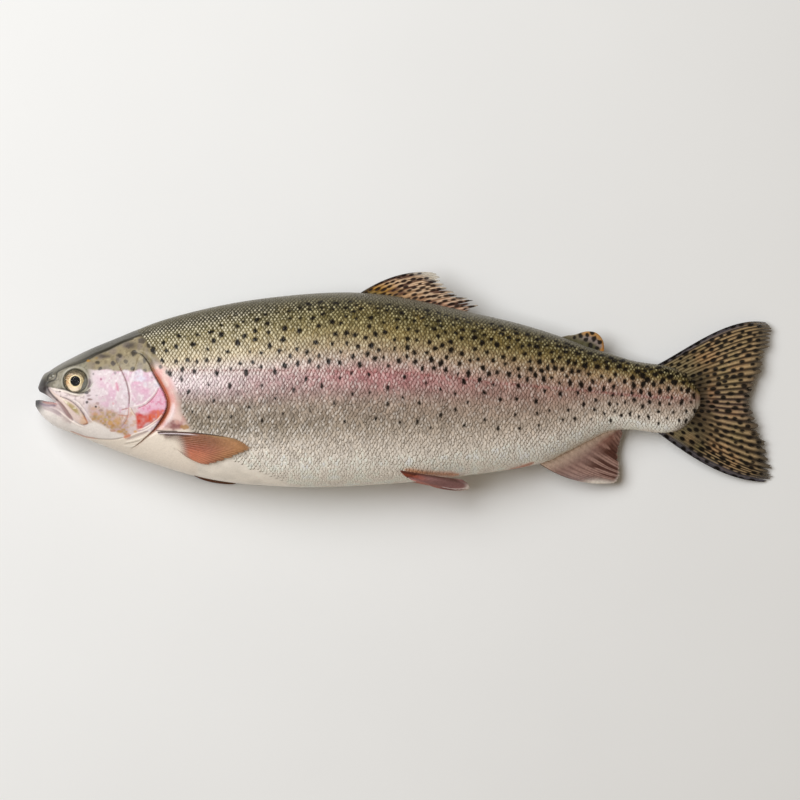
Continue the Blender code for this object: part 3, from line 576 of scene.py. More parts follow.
def spot_share(x, y, side, rough):
    """How far each place is in a black spot, 0 to 1. rough, from 0 to 1, frays the spots' edges."""
    shade = np.zeros(len(x))
    for flank, spots in FLANK_SPOTS.items():
        tree = kdtree.KDTree(len(spots))
        for i, spot in enumerate(spots):
            tree.insert((spot[0], spot[1], 0.0), i)
        tree.balance()
        mine = np.flatnonzero((side == flank) & (x > 58))
        if not len(mine):
            continue
        nearest = np.array([[k for _, k, _ in tree.find_n((a, b, 0.0), 3)]
                            for a, b in zip(x[mine], y[mine])])
        for column in nearest.T:
            cx, cy, long, tall, slant = spots[column].T
            dx, dy = x[mine] - cx, y[mine] - cy
            u = (dx * np.cos(slant) + dy * np.sin(slant)) / long
            v = (dy * np.cos(slant) - dx * np.sin(slant)) / tall
            far = np.hypot(u, v) + 0.7 * (rough[mine] - 0.5)
            shade[mine] = np.maximum(shade[mine], step(1.25, 0.8, far))
    return shade


def pigment(points):
    """The fish's own colour at each place, and how much of that is a black spot."""
    x, y, z = points.T
    side = np.where(z > body_at(x)[3], 1, -1)
    blotch, fine = mottle(points, 4.0, 1), mottle(points, 1.3, 2)
    gold = step(0.55, 0.9, mottle(points, 9.0, 3))
    colour = band_colour(x, y)
    back, belly = body_at(x)[:2]
    share = (y - belly) / (back - belly)
    above = step(0.6, 0.72, share) * step(0.97, 0.9, share)
    colour = mix(colour, tone(160, 136, 74), 0.28 * gold * above * step(90, 150, x))
    lateral = np.exp(-((y - np.interp(x, *LATERAL_LINE.T)) / 0.6) ** 2) * step(72, 90, x)
    colour = mix(colour, tone(158, 78, 78), 0.65 * lateral * step(405, 385, x))
    # The vent is orange-brown. Along the pelvic fins' upper edge an orange-brown band is partly their
    # roots' colour and partly painted shadow under the fins.
    vent = stroke([(288, -48.6), (296, -46.4), (304, -43.6)], 1.0, x, y)
    colour = mix(colour, tone(204, 112, 70), 0.85 * vent)
    roots = stroke([(226, -47.8), (240, -50.2), (258, -50.8)], 1.7, x, y)
    colour = mix(colour, tone(206, 124, 56), 0.8 * roots)
    # At the end of the stalk the flesh passes into the brown root of the tail fin.
    end = step(0.68, 0.94, np.hypot((x - 388) / 18, (y + 4.5) / 20)) * step(385, 396, x)
    colour = mix(colour, tone(92, 78, 54), end * (0.25 + 0.55 * step(6, 14, np.abs(y + 4.5))))
    colour = colour * (0.86 + 0.28 * blotch)[:, None]
    at_head = x < 100
    head = colour[at_head]
    hx, hy = x[at_head], y[at_head]
    onset = step(-3.0, 3.0, behind_scale_start(hx, hy))
    head = mix(head_colour(hx, hy, blotch[at_head], fine[at_head]), head, onset)
    colour[at_head] = add_head_marks(head, hx, hy, fine[at_head])
    spots = spot_share(x, y, side, mottle(points, 0.9, 4))
    return mix(colour, tone(12, 5, 2), 0.99 * spots), spots


def paint(mesh, colours):
    """One colour for each point of the mesh, for its material."""
    layer = mesh.color_attributes.new("pigment", "FLOAT_COLOR", "POINT")
    values = np.ones((len(mesh.vertices), 4), np.float32)
    values[:, :3] = colours
    layer.data.foreach_set("color", values.ravel())


def places_of(mesh):
    """A mesh's points in fish millimetres."""
    found = np.empty(len(mesh.vertices) * 3, np.float32)
    mesh.vertices.foreach_get("co", found)
    return (found.reshape(-1, 3).astype(float) - FISH_ORIGIN) * 1000


def new_piece(name, mesh):
    obj = bpy.data.objects.new(name, mesh)
    bpy.context.scene.collection.objects.link(obj)
    return obj


def baked(obj):
    """The object's mesh with its modifiers applied."""
    graph = bpy.context.evaluated_depsgraph_get()
    mesh = bpy.data.meshes.new_from_object(obj.evaluated_get(graph))
    bpy.data.objects.remove(obj)
    return mesh


def quad_mesh(name, grid):
    """A mesh of quads through rings of points."""
    rings, columns = grid.shape[:2]
    k = np.arange(rings * columns).reshape(rings, columns)
    right = np.roll(k, -1, 1)
    quads = np.stack([k[:-1], right[:-1], right[1:], k[1:]], -1).reshape(-1, 4)
    mesh = bpy.data.meshes.new(name)
    mesh.from_pydata(in_frame(grid.reshape(-1, 3)).tolist(), [], quads.tolist())
    return mesh


NECK = 95.0               # where the head's skin meets the body's
HEAD_VOXEL = 0.00042      # metres between the points of the head's skin
LOWEST = 0.05             # the skin stays this far above the floor it rests on
MOUTH = [(-6.0, 3.4), (0.6, 2.9), (2.6, -0.1), (5.8, -1.7), (9.6, -4.2), (13.4, -7.4),
         (9.8, -6.5), (6.3, -6.1), (3.0, -5.3), (0.0, -5.5), (-6.0, -5.6)]


def closed_loft(name, rings):
    """A skin through closed rings of points, capped at both ends, with its faces turned out."""
    mesh = quad_mesh(name, rings)
    bm = bmesh.new()
    bm.from_mesh(mesh)
    bmesh.ops.holes_fill(bm, edges=[e for e in bm.edges if e.is_boundary])
    bmesh.ops.recalc_face_normals(bm, faces=bm.faces)
    bm.to_mesh(mesh)
    bm.free()
    return mesh


def skin_relief(x, y, blotch):
    """How far the head's skin stands out of the body's plain form."""
    gill, along = near(GILL_EDGE, x, y)
    ends = step(0.0, 0.1, along) * step(1.0, 0.86, along)
    rise = np.where(gill < 0, 0.95 * np.clip(1 + gill / 24, 0, 1) ** 1.6, 0.0)
    wide = np.interp(along, [0, 0.2, 0.5, 0.7, 0.85, 1.0], [1.6, 3.0, 5.0, 4.4, 1.6, 1.0])
    deep = np.interp(along, [0, 0.2, 0.5, 0.7, 0.85, 1.0], [0.9, 1.7, 2.2, 2.0, 0.7, 0.3])
    rise = (rise - np.where(gill >= 0, deep * (1 - step(0.22, 1.1, gill / wide)), 0.0)) * ends
    rise = np.where((x < 58) & (y > 18), 0.0, rise)
    cheek = near(CHEEK_EDGE, x, y)[0]
    rise += 0.28 * step(-7.0, -0.8, cheek) * step(0.2, -0.2, cheek) * step(-24, -18, y)
    bone = inside(JAWBONE, x, y)
    rise += 0.70 * step(-0.25, 0.5, bone) + 0.15 * step(0.3, 2.0, bone)
    rise += 0.32 * step(-0.2, 0.5, inside(SMALL_JAWBONE, x, y))
    crown = near(CROWN, x, y)[0]
    rise += 0.30 * np.exp(-((crown - 1.0) / 1.0) ** 2) * step(2, 6, y)
    eye = np.hypot(x - EYE_CENTRE[0], y - EYE_CENTRE[1])
    rise += 0.55 * np.exp(-((eye - 8.3) / 0.8) ** 2)
    rise -= 2.4 * step(7.5, 6.4, eye)
    rise -= 0.20 * np.exp(-((eye - 10.0) / 0.7) ** 2)
    hole = np.hypot((x - 10.0) / 1.25, y - 8.8)
    rise += 0.30 * np.exp(-((hole - 1.9) / 0.5) ** 2) - 0.7 * step(1.4, 0.7, hole)
    rise += 0.9 * np.exp(-((x - 10.9) ** 2 + (y - 9.3) ** 2) / 0.35)
    for k in range(7):
        pore = np.hypot(x - (6.5 + 4.4 * k), y - (-13.4 - 1.75 * k))
        rise -= 0.16 * step(0.7, 0.2, pore)
    for _, _, half_width, height, points in HEAD_LINES:
        rise += height * stroke(points, half_width, x, y)
    return rise + 0.10 * (blotch - 0.5)


ring_x = 101.0 * np.linspace(0, 1, 104)[:, None] ** 1.35
ring_turn = np.linspace(0, 2 * math.pi, 129)[None, :-1]
head_solid = new_piece("head_form", closed_loft("head_form", body_surface(ring_x, ring_turn)))
slot = new_piece("mouth_slot", closed_loft("mouth_slot", np.array(
    [[(x, y, z) for x, y in smooth_line(MOUTH, 3, closed=True)] for z in (-20.0, 90.0)])))
opening = head_solid.modifiers.new("mouth", "BOOLEAN")
opening.object = slot
opening.operation = "DIFFERENCE"
opening.solver = "EXACT"
melt = head_solid.modifiers.new("even", "REMESH")
melt.mode = "VOXEL"
melt.voxel_size = HEAD_VOXEL
soften = head_solid.modifiers.new("soft", "SMOOTH")
soften.factor = 0.5
soften.iterations = 5
head_mesh = baked(head_solid)
bpy.data.objects.remove(slot)

bm = bmesh.new()
bm.from_mesh(head_mesh)
bmesh.ops.bisect_plane(bm, geom=[*bm.verts, *bm.edges, *bm.faces], clear_outer=True,
                       plane_co=Vector(in_frame((NECK, 0, 0))), plane_no=(1, 0, 0))
bm.to_mesh(head_mesh)
bm.free()

places = places_of(head_mesh)
normals = np.empty(len(places) * 3, np.float32)
head_mesh.vertices.foreach_get("normal", normals)
normals = normals.reshape(-1, 3)
fade = step(NECK - 1.0, NECK - 5.0, places[:, 0])
facing = step(0.12, 0.4, np.abs(normals[:, 2]))
lift = skin_relief(places[:, 0], places[:, 1], mottle(places, 2.0, 7)) * facing * fade
sunk = COAT_DEPTH * step(-3.0, 3.0, behind_scale_start(places[:, 0], places[:, 1]))
places = places + normals * (lift - sunk)[:, None]
places[:, 2] = np.maximum(places[:, 2], LOWEST)
head_mesh.vertices.foreach_set("co", in_frame(places).astype(np.float32).ravel())
head_mesh.update()

# The body's skin is a plain form under the scales, joined to the head's without a seam.
rear_x = np.arange(NECK + 2.6, FLESH_END, 2.6)
rear_rings = body_surface(np.append(rear_x, FLESH_END)[:, None],
                          np.linspace(0, 2 * math.pi, 111)[None, :-1], COAT_DEPTH)
rear_rings[:, :, 2] = np.maximum(rear_rings[:, :, 2], COAT_DEPTH)
bm = bmesh.new()
bm.from_mesh(head_mesh)
bm.from_mesh(quad_mesh("rear_form", rear_rings))
last = max(v.co.x for v in bm.verts)
rims = [e for e in bm.edges if e.is_boundary]
bmesh.ops.bridge_loops(bm, edges=[e for e in rims if e.verts[0].co.x < last - 0.001])
bmesh.ops.holes_fill(bm, edges=[e for e in bm.edges if e.is_boundary])
bmesh.ops.recalc_face_normals(bm, faces=bm.faces)
skin_mesh = bpy.data.meshes.new("trout_skin")
bm.to_mesh(skin_mesh)
bm.free()
skin_mesh.shade_smooth()
colours, spots = pigment(places_of(skin_mesh))
paint(skin_mesh, colours)
trout_skin = new_piece("trout_skin", skin_mesh)


class Nodes:
    """Adds shader nodes to a material or a node group and links them."""

    def __init__(self, tree):
        self.tree = tree

    def add(self, kind, inputs=(), **settings):
        node = self.tree.nodes.new(kind)
        for name, value in settings.items():
            setattr(node, name, value)
        for place, value in dict(inputs).items():
            if isinstance(value, bpy.types.NodeSocket):
                self.tree.links.new(value, node.inputs[place])
            else:
                node.inputs[place].default_value = value
        return node

    def out(self, kind, inputs=(), output=0, **settings):
        return self.add(kind, inputs, **settings).outputs[output]


def new_group(name, inputs, outputs):
    """A node group, its nodes and the outputs of its input node."""
    group = bpy.data.node_groups.new(name, "ShaderNodeTree")
    for label, kind, value in inputs:
        socket = group.interface.new_socket(label, in_out="INPUT", socket_type=kind)
        socket.default_value = value
    for label, kind in outputs:
        group.interface.new_socket(label, in_out="OUTPUT", socket_type=kind)
    nodes = Nodes(group)
    return group, nodes, nodes.add("NodeGroupInput").outputs


def new_material(name, **values):
    """A material with a Principled shader whose plain values are given."""
    material = bpy.data.materials.new(name)
    material.use_nodes = True
    material.node_tree.nodes.clear()
    nodes = Nodes(material.node_tree)
    shader = nodes.add("ShaderNodeBsdfPrincipled",
                       {key.replace("_", " "): value for key, value in values.items()})
    nodes.add("ShaderNodeOutputMaterial", {"Surface": shader.outputs[0]})
    return material, nodes, shader


def speckle_group():
    """Fine flecks that darken and lighten a pigment, and a matching roughness and height."""
    group, nodes, inputs = new_group(
        "speckle",
        [("Pigment", "NodeSocketColor", (1, 1, 1, 1)), ("Scale", "NodeSocketFloat", 900.0),
         ("Amount", "NodeSocketFloat", 0.25), ("Roughness", "NodeSocketFloat", 0.4)],
        [("Color", "NodeSocketColor"), ("Roughness", "NodeSocketFloat"), ("Height", "NodeSocketFloat")])
    place = nodes.out("ShaderNodeTexCoord", output=3)
    noise = nodes.out("ShaderNodeTexNoise", {"Vector": place, "Scale": inputs[1], "Detail": 3.0})
    swing = nodes.out("ShaderNodeMapRange", {0: noise, 1: 0.3, 2: 0.7, 3: -1.0, 4: 1.0})
    gain = nodes.out("ShaderNodeMath", {0: swing, 1: inputs[2], 2: 1.0}, operation="MULTIPLY_ADD")
    colour = nodes.out("ShaderNodeVectorMath", {0: inputs[0], "Scale": gain}, operation="SCALE")
    rough = nodes.out("ShaderNodeMath", {0: swing, 1: -0.08, 2: inputs[3]}, operation="MULTIPLY_ADD")
    nodes.add("NodeGroupOutput", {0: colour, 1: rough, 2: noise})
    return group


SPECKLE = speckle_group()


def speckled(nodes, shader, scale, amount, roughness, height):
    """Puts the piece's own pigment and the speckle group on a shader."""
    pigment_layer = nodes.out("ShaderNodeAttribute", attribute_name="pigment")
    effect = nodes.add("ShaderNodeGroup", {"Pigment": pigment_layer, "Scale": scale, "Amount": amount,
                                           "Roughness": roughness}, node_tree=SPECKLE)
    nodes.tree.links.new(effect.outputs["Color"], shader.inputs["Base Color"])
    nodes.tree.links.new(effect.outputs["Roughness"], shader.inputs["Roughness"])
    bump = nodes.add("ShaderNodeBump", {"Height": effect.outputs["Height"],
                                        "Strength": 1.0, "Distance": height})
    nodes.tree.links.new(bump.outputs[0], shader.inputs["Normal"])


wet_skin, nodes, shader = new_material("wet_skin", Specular_IOR_Level=0.35, Coat_Weight=0.3,
                                       Coat_Roughness=0.2, Coat_IOR=1.4)
speckled(nodes, shader, 900.0, 0.05, 0.45, 0.00004)
skin_mesh.materials.append(wet_skin)
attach(trout_skin, "root")
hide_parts("head", "lower_jaw", "throat", "gill_cover_left", "gill_cover_right",
            "jawbone_left", "jawbone_right", "trunk_front", "trunk_rear", "tail_stalk")

# ---------------------------------------------------------------- the scales
# Thousands of thin round scales of clear bony plate lie over the skin from the shoulder to the
# tail, each rooted in front and lapped by the one before it. They carry the body's markings.
PITCH = 2.35              # from one scale to the next along a row
ROW_PITCH = 1.85          # from one row to the next, which is half a pitch further back
SCALE_HALF_WIDTH = 2.08
ROWS = 52                 # rows above the lateral line, and as many below it
PATCH = 0.0015            # size of one scale in the coat's map


def scale_size(x):
    """Size of the scales by place, 1 on the shoulder."""
    return np.interp(x, [60, 120, 330, 402], [0.95, 1.0, 0.97, 0.80])


# The angle round the body for each x and arc length above the lateral line, and for each x the arc
# lengths at the belly's and the back's edge.
table_x = np.arange(54.0, 407.0)
table_arc = np.arange(-96.0, 96.5, 0.5)
turns = np.linspace(-0.5, math.pi + 0.5, 421)
table_turn = np.empty((len(table_x), len(table_arc)))
arc_ends = np.empty((len(table_x), 2))
for i, x in enumerate(table_x):
    ring = body_surface(np.full(turns.shape, x), turns)
    arc = -np.append(0, np.cumsum(np.linalg.norm(np.diff(ring, axis=0), axis=1)))
    upper = turns < 2.2
    line_turn = np.interp(-np.interp(x, *LATERAL_LINE.T), -ring[(turns > 0) & upper, 1],
                          turns[(turns > 0) & upper])
    arc -= np.interp(line_turn, turns, arc)
    table_turn[i] = np.interp(table_arc, arc[::-1], turns[::-1])
    arc_ends[i] = np.interp([math.pi, 0.0], turns, arc)


def turn_at(x, arc):
    """The angle round the body at x and an arc length above the lateral line."""
    i = np.clip(x - table_x[0], 0, len(table_x) - 1.001)
    j = np.clip((arc - table_arc[0]) * 2, 0, len(table_arc) - 1.001)
    i0, j0 = i.astype(int), j.astype(int)
    fi, fj = i - i0, j - j0
    near_edge = table_turn[i0, j0] * (1 - fi) + table_turn[i0 + 1, j0] * fi
    far_edge = table_turn[i0, j0 + 1] * (1 - fi) + table_turn[i0 + 1, j0 + 1] * fi
    return near_edge * (1 - fj) + far_edge * fj


def on_flank(x, arc, side, height):
    """A point of the flank at x and an arc length above the lateral line, raised by height."""
    turn = turn_at(x, arc) * side
    point = body_surface(x, turn)
    along = body_surface(x + 0.2, turn) - point
    across = body_surface(x, turn + 0.004) - point
    normal = np.cross(across, along)
    normal /= np.linalg.norm(normal, axis=-1, keepdims=True)
    outward = np.sign((normal * (point - np.stack([x, body_at(x)[4], body_at(x)[3]], -1))).sum(-1))
    return point + normal * (height * outward)[..., None]


def scale_roots(side):
    """Places of the scales of one flank: x and row of each."""
    columns, x = [], 56.0
    while x < 403.0:
        columns.append(x)
        x += PITCH * scale_size(x)
    columns = np.array(columns)
    found = []
    for row in range(-ROWS, ROWS):
        x = columns + (0.5 * PITCH * scale_size(columns) if row % 2 else 0.0)
        arc = row * ROW_PITCH * scale_size(x)
        low, high = (np.interp(x, table_x, arc_ends[:, k]) for k in (0, 1))
        y = on_flank(x, arc, side, np.zeros(len(x)))[:, 1]
        keep = (arc > low - 0.6) & (arc < high + 0.6) & (behind_scale_start(x, y) > 0.6)
        keep &= x < 402.5
        found.append(np.stack([x, np.full(len(x), row)], 1)[keep])
    return np.concatenate(found)


# One scale: its rim from the root round the free rear edge, in pitches, a ring half way in, its
# middle, and the lower lip of the rim.
ROOT_REACH = 0.72         # from its centre to its root
FREE_REACH = 0.56         # from its centre to its free rear edge
MIDDLE = 0.06             # how far behind its centre it is highest
rim_turn = np.radians(np.array([-150, -112, -75, -38, 0, 38, 75, 112, 150]))
rim_u = np.where(np.cos(rim_turn) > 0, FREE_REACH * np.abs(np.cos(rim_turn)) ** 0.85,
                 -ROOT_REACH * np.abs(np.cos(rim_turn)))
rim_v = np.sign(np.sin(rim_turn)) * np.abs(np.sin(rim_turn)) ** 0.8
RIM = len(rim_u)
free = np.clip((rim_u + ROOT_REACH) / (ROOT_REACH + FREE_REACH), 0, 1)
scale_u = np.concatenate([rim_u, MIDDLE + 0.55 * (rim_u - MIDDLE), [MIDDLE], rim_u[1:-1] * 0.97])
scale_v = np.concatenate([rim_v, 0.55 * rim_v, [0.0], rim_v[1:-1] * 0.97])
scale_height = np.concatenate([-0.42 + 0.28 * free, -0.30 + 0.20 * free, [-0.10],
                               -0.46 + 0.04 * free[1:-1]])
scale_rim = np.concatenate([np.ones(RIM), np.full(RIM, 0.35), [0.0], np.ones(RIM - 2)])
plate = []
for i in range(RIM):
    after = (i + 1) % RIM
    plate += [(i, after, RIM + after), (i, RIM + after, RIM + i), (RIM + i, RIM + after, 2 * RIM)]
lip = []
for i in range(1, RIM - 2):
    under = 2 * RIM + i
    lip += [(i, under, under + 1), (i, under + 1, i + 1)]
SCALE_FACES = np.array(plate + lip)

# How the scales look from the belly to the back: share of the body's height, then there the spread
# of brightness from scale to scale, the darkness of the rims (rim pigment and painted shade between
# the scales), the strength of the gleams (painted highlights), how much that varies, and the gleams'
# slant, length and width in pitches.
SCALE_LOOK = [(0.05, 0.12, 0.30, 0.45, 0.55, 0.63, 0.80, 0.93, 0.98),
              (0.01, 0.07, 0.12, 0.11, 0.10, 0.09, 0.11, 0.12, 0.02),
              (0.00, 0.14, 0.22, 0.19, 0.22, 0.28, 0.42, 0.60, 0.02),
              (0.10, 0.85, 0.85, 0.62, 0.75, 0.85, 0.90, 1.00, 0.00),
              (2.00, 1.60, 1.80, 2.20, 1.40, 1.20, 1.20, 0.80, 1.00),
              (0.95, 0.95, 0.98, 1.02, 1.25, 1.40, 1.30, 1.20, 1.20),
              (0.50, 0.60, 0.75, 0.75, 0.75, 0.60, 0.38, 0.27, 0.30),
              (0.24, 0.26, 0.25, 0.22, 0.24, 0.26, 0.26, 0.20, 0.25)]


def triangle_mesh(name, place, faces):
    mesh = bpy.data.meshes.new(name)
    mesh.vertices.add(len(place))
    mesh.loops.add(faces.size)
    mesh.polygons.add(len(faces))
    mesh.vertices.foreach_set("co", in_frame(place).astype(np.float32).ravel())
    mesh.loops.foreach_set("vertex_index", faces.ravel().astype(np.int32))
    mesh.polygons.foreach_set("loop_start", np.arange(0, faces.size, 3, dtype=np.int32))
    mesh.update(calc_edges=True)
    mesh.shade_smooth()
    return mesh


def scale_coat(name, roots, side, rng, first_x, last_x):
    """One piece of the coat: every scale whose root lies from first_x to last_x.

    rng draws the unevenness of the scales, for one piece after another.
    """
    roots = roots[(roots[:, 0] >= first_x) & (roots[:, 0] < last_x)]
    count, points = len(roots), len(scale_u)
    size = scale_size(roots[:, 0])[:, None]
    own = size * rng.uniform(0.92, 1.12, (count, 1))
    twist = rng.normal(0, 0.12, (count, 1))
    u = scale_u[None] * PITCH * own
    v = scale_v[None] * SCALE_HALF_WIDTH * own
    u, v = u - v * twist, v + u * twist
    root_arc = roots[:, 1] * ROW_PITCH * size[:, 0]
    root_place = on_flank(roots[:, 0], root_arc, side, np.zeros(count))
    back, belly = body_at(roots[:, 0])[:2]
    share = (root_place[:, 1] - belly) / (back - belly)
    # The rows run a little unevenly, and the scales of the belly and the back lie flat and even.
    sway = 1.3 * (mottle(root_place, 11.0, 81) - 0.5)
    uneven = np.interp(roots[:, 0], [70, 130, 220], [0.08, 0.16, 0.30])
    x = roots[:, :1] + u + (sway + uneven * rng.normal(0, 1, count))[:, None]
    arc = roots[:, 1:] * ROW_PITCH * scale_size(x) + v
    arc = arc + (0.5 * uneven * rng.normal(0, 1, count))[:, None]
    loose = np.interp(share, [0.05, 0.12, 0.92, 0.98], [0.15, 1.0, 1.0, 0.3])[:, None]
    lean = loose * (rng.normal(0, 0.06, (count, 1)) * u + rng.normal(0, 0.05, (count, 1)) * v)
    onset = step(0.0, 16.0, behind_scale_start(roots[:, 0], root_place[:, 1]))
    soft = onset + (1 - onset) * np.interp(root_place[:, 1], [-30, -18], [0.05, 1.0])
    flat = (np.interp(share, [0.04, 0.12, 0.34, 0.46, 0.93, 0.98], [0.10, 0.30, 0.45, 0.9, 1.0, 0.2])
            * np.interp(roots[:, 0], [130, 240], [1.0, 0.50]) * soft)[:, None]
    height = np.minimum(-0.14 + flat * (scale_height[None] + 0.14 + lean), -0.05)
    place = on_flank(x.ravel(), arc.ravel(), side, height.ravel())
    place[:, 2] = np.maximum(place[:, 2], 0.02)
    faces = (np.arange(count)[:, None, None] * points + SCALE_FACES[None]).reshape(-1, 3)
    mesh = triangle_mesh(name, place, faces)
    colour, spots = pigment(place)
    shown = (1 - spots) ** 2
    spread, rims, gleams, fitful, slant, long, wide = (np.interp(share, SCALE_LOOK[0], values)
                                                       for values in SCALE_LOOK[1:])
    # Over the shoulder the scales are even, with bright painted highlights. Further back they are finer,
    # duller and more uneven, and on the breast they come in softly from the smooth skin.
    even = step(200, 110, roots[:, 0]) * step(0.45, 0.60, share)
    calm = soft * np.interp(roots[:, 0], [140, 240], [1.0, 0.55])
    spread, rims, gleams = spread * (0.4 + 0.6 * calm), rims * calm, gleams * (0.35 + 0.65 * calm)
    long = long * (0.6 + 0.4 * calm)
    # Low on the rear flank painted highlights make them glint like silver.
    glint = step(262, 300, roots[:, 0]) * step(0.30, 0.18, share) * step(0.01, 0.05, share)
    gleams, fitful, long, wide, rims = (
        value + (silvery - value) * glint for value, silvery in
        ((gleams, 0.95), (fitful, 0.8), (long, 0.60), (wide, 0.33), (rims, 0.45)))
    tint = rng.normal(0, 1, count)
    tint = np.where(rng.random(count) < 0.10 * (1 - even), -2.4, tint)
    tint = np.clip(tint * spread, -0.55, 0.45)
    # Each scale's rim is painted darker and its middle lighter: partly pigment at the rim, partly painted
    # shade in the gaps between scales and a painted highlight on the dome.
    rim_pigment_and_shade = rims * rng.uniform(0.4, 1.6, count) * (1 + 0.5 * even)
    gleam = gleams * rng.random(count) ** (fitful * (1 - 0.75 * even))
    slant = slant + rng.normal(0, 0.35, count) * (1 - 0.6 * even)
    # The gleams are painted highlights: a pale streak of the shine colour laid into each scale at a slant.
    du, dv = (scale_u - MIDDLE)[None], (scale_v * SCALE_HALF_WIDTH / PITCH)[None]
    across = du * np.sin(slant)[:, None] - dv * np.cos(slant)[:, None]
    along = du * np.cos(slant)[:, None] + dv * np.sin(slant)[:, None]
    streak = np.exp(-(across / wide[:, None]) ** 2 - (along / long[:, None]) ** 2)
    shine = mix(tone(250, 245, 240), tone(236, 226, 176), step(0.64, 0.80, share))
    shine = mix(shine, tone(252, 244, 220), even * step(0.60, 0.75, share))
    rim = np.tile(scale_rim, count)
    colour = colour * (1 + np.repeat(tint, points) * shown)[:, None]
    colour = colour * (1 + np.repeat(rim_pigment_and_shade, points) * (0.45 - 1.0 * rim) * shown)[:, None]
    colour = mix(colour, np.repeat(shine, points, 0), (gleam[:, None] * streak).ravel() * shown)
    paint(mesh, np.clip(colour, 0.0, 0.95))
    layer = mesh.uv_layers.new(name="OFBake")
    root_u = (roots[:, 0] - first_x) / (last_x - first_x) * 0.98 + 0.01
    root_v = (roots[:, 1] + ROWS) / (2 * ROWS) * 0.98 + 0.01
    patch = np.stack([root_u[:, None] + scale_u[None] * PATCH, root_v[:, None] + scale_v[None] * PATCH], -1)
    layer.data.foreach_set("uv", patch.reshape(-1, 2)[faces.ravel()].astype(np.float32).ravel())
    coat = new_piece(name, mesh)
    mesh.materials.append(scale_plate)
    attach(coat, "root")
    return coat


scale_plate, nodes, shader = new_material("scale_plate", Specular_IOR_Level=0.22, Coat_Weight=0.15,
                                          Coat_Roughness=0.22, Coat_IOR=1.4)
speckled(nodes, shader, 1000.0, 0.13, 0.42, 0.00004)
# Each part of a coat: name, first and last x, and the solids under it.
COAT_PARTS = [("front", 50.0, 172.0, ("trunk_front",)),
              ("middle", 172.0, 282.0, ("trunk_front", "trunk_rear")),
              ("rear", 282.0, 404.0, ("trunk_rear", "tail_stalk"))]
for word, side in (("left", 1), ("right", -1)):
    roots, rng = scale_roots(side), np.random.default_rng(20 + side)
    for part, first_x, last_x, covered in COAT_PARTS:
        coat = scale_coat(f"scales_{word}_{part}", roots, side, rng, first_x, last_x)
        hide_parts(*covered)

# ---------------------------------------------------------------- the tail fin
# A forked fan of bony rays that branch on their way out, with thin skin stretched between them. It
# grows from the end of the stalk, and its rear edge is frayed and smoky.


def write_values(mesh, name, values):
    """One number for each point of the mesh, for its material."""
    layer = mesh.attributes.new(name, "FLOAT", "POINT")
    layer.data.foreach_set("value", np.asarray(values, np.float32))


def point_on(line, share):
    """The point at a share of the way along a 3-D line, 0 to 1."""
    place = np.asarray(share) * (len(line) - 1)
    return np.stack([np.interp(place, range(len(line)), line[:, k]) for k in range(3)], -1)


MARK_TRIES = 9000         # places of a fin where a dark mark is tried


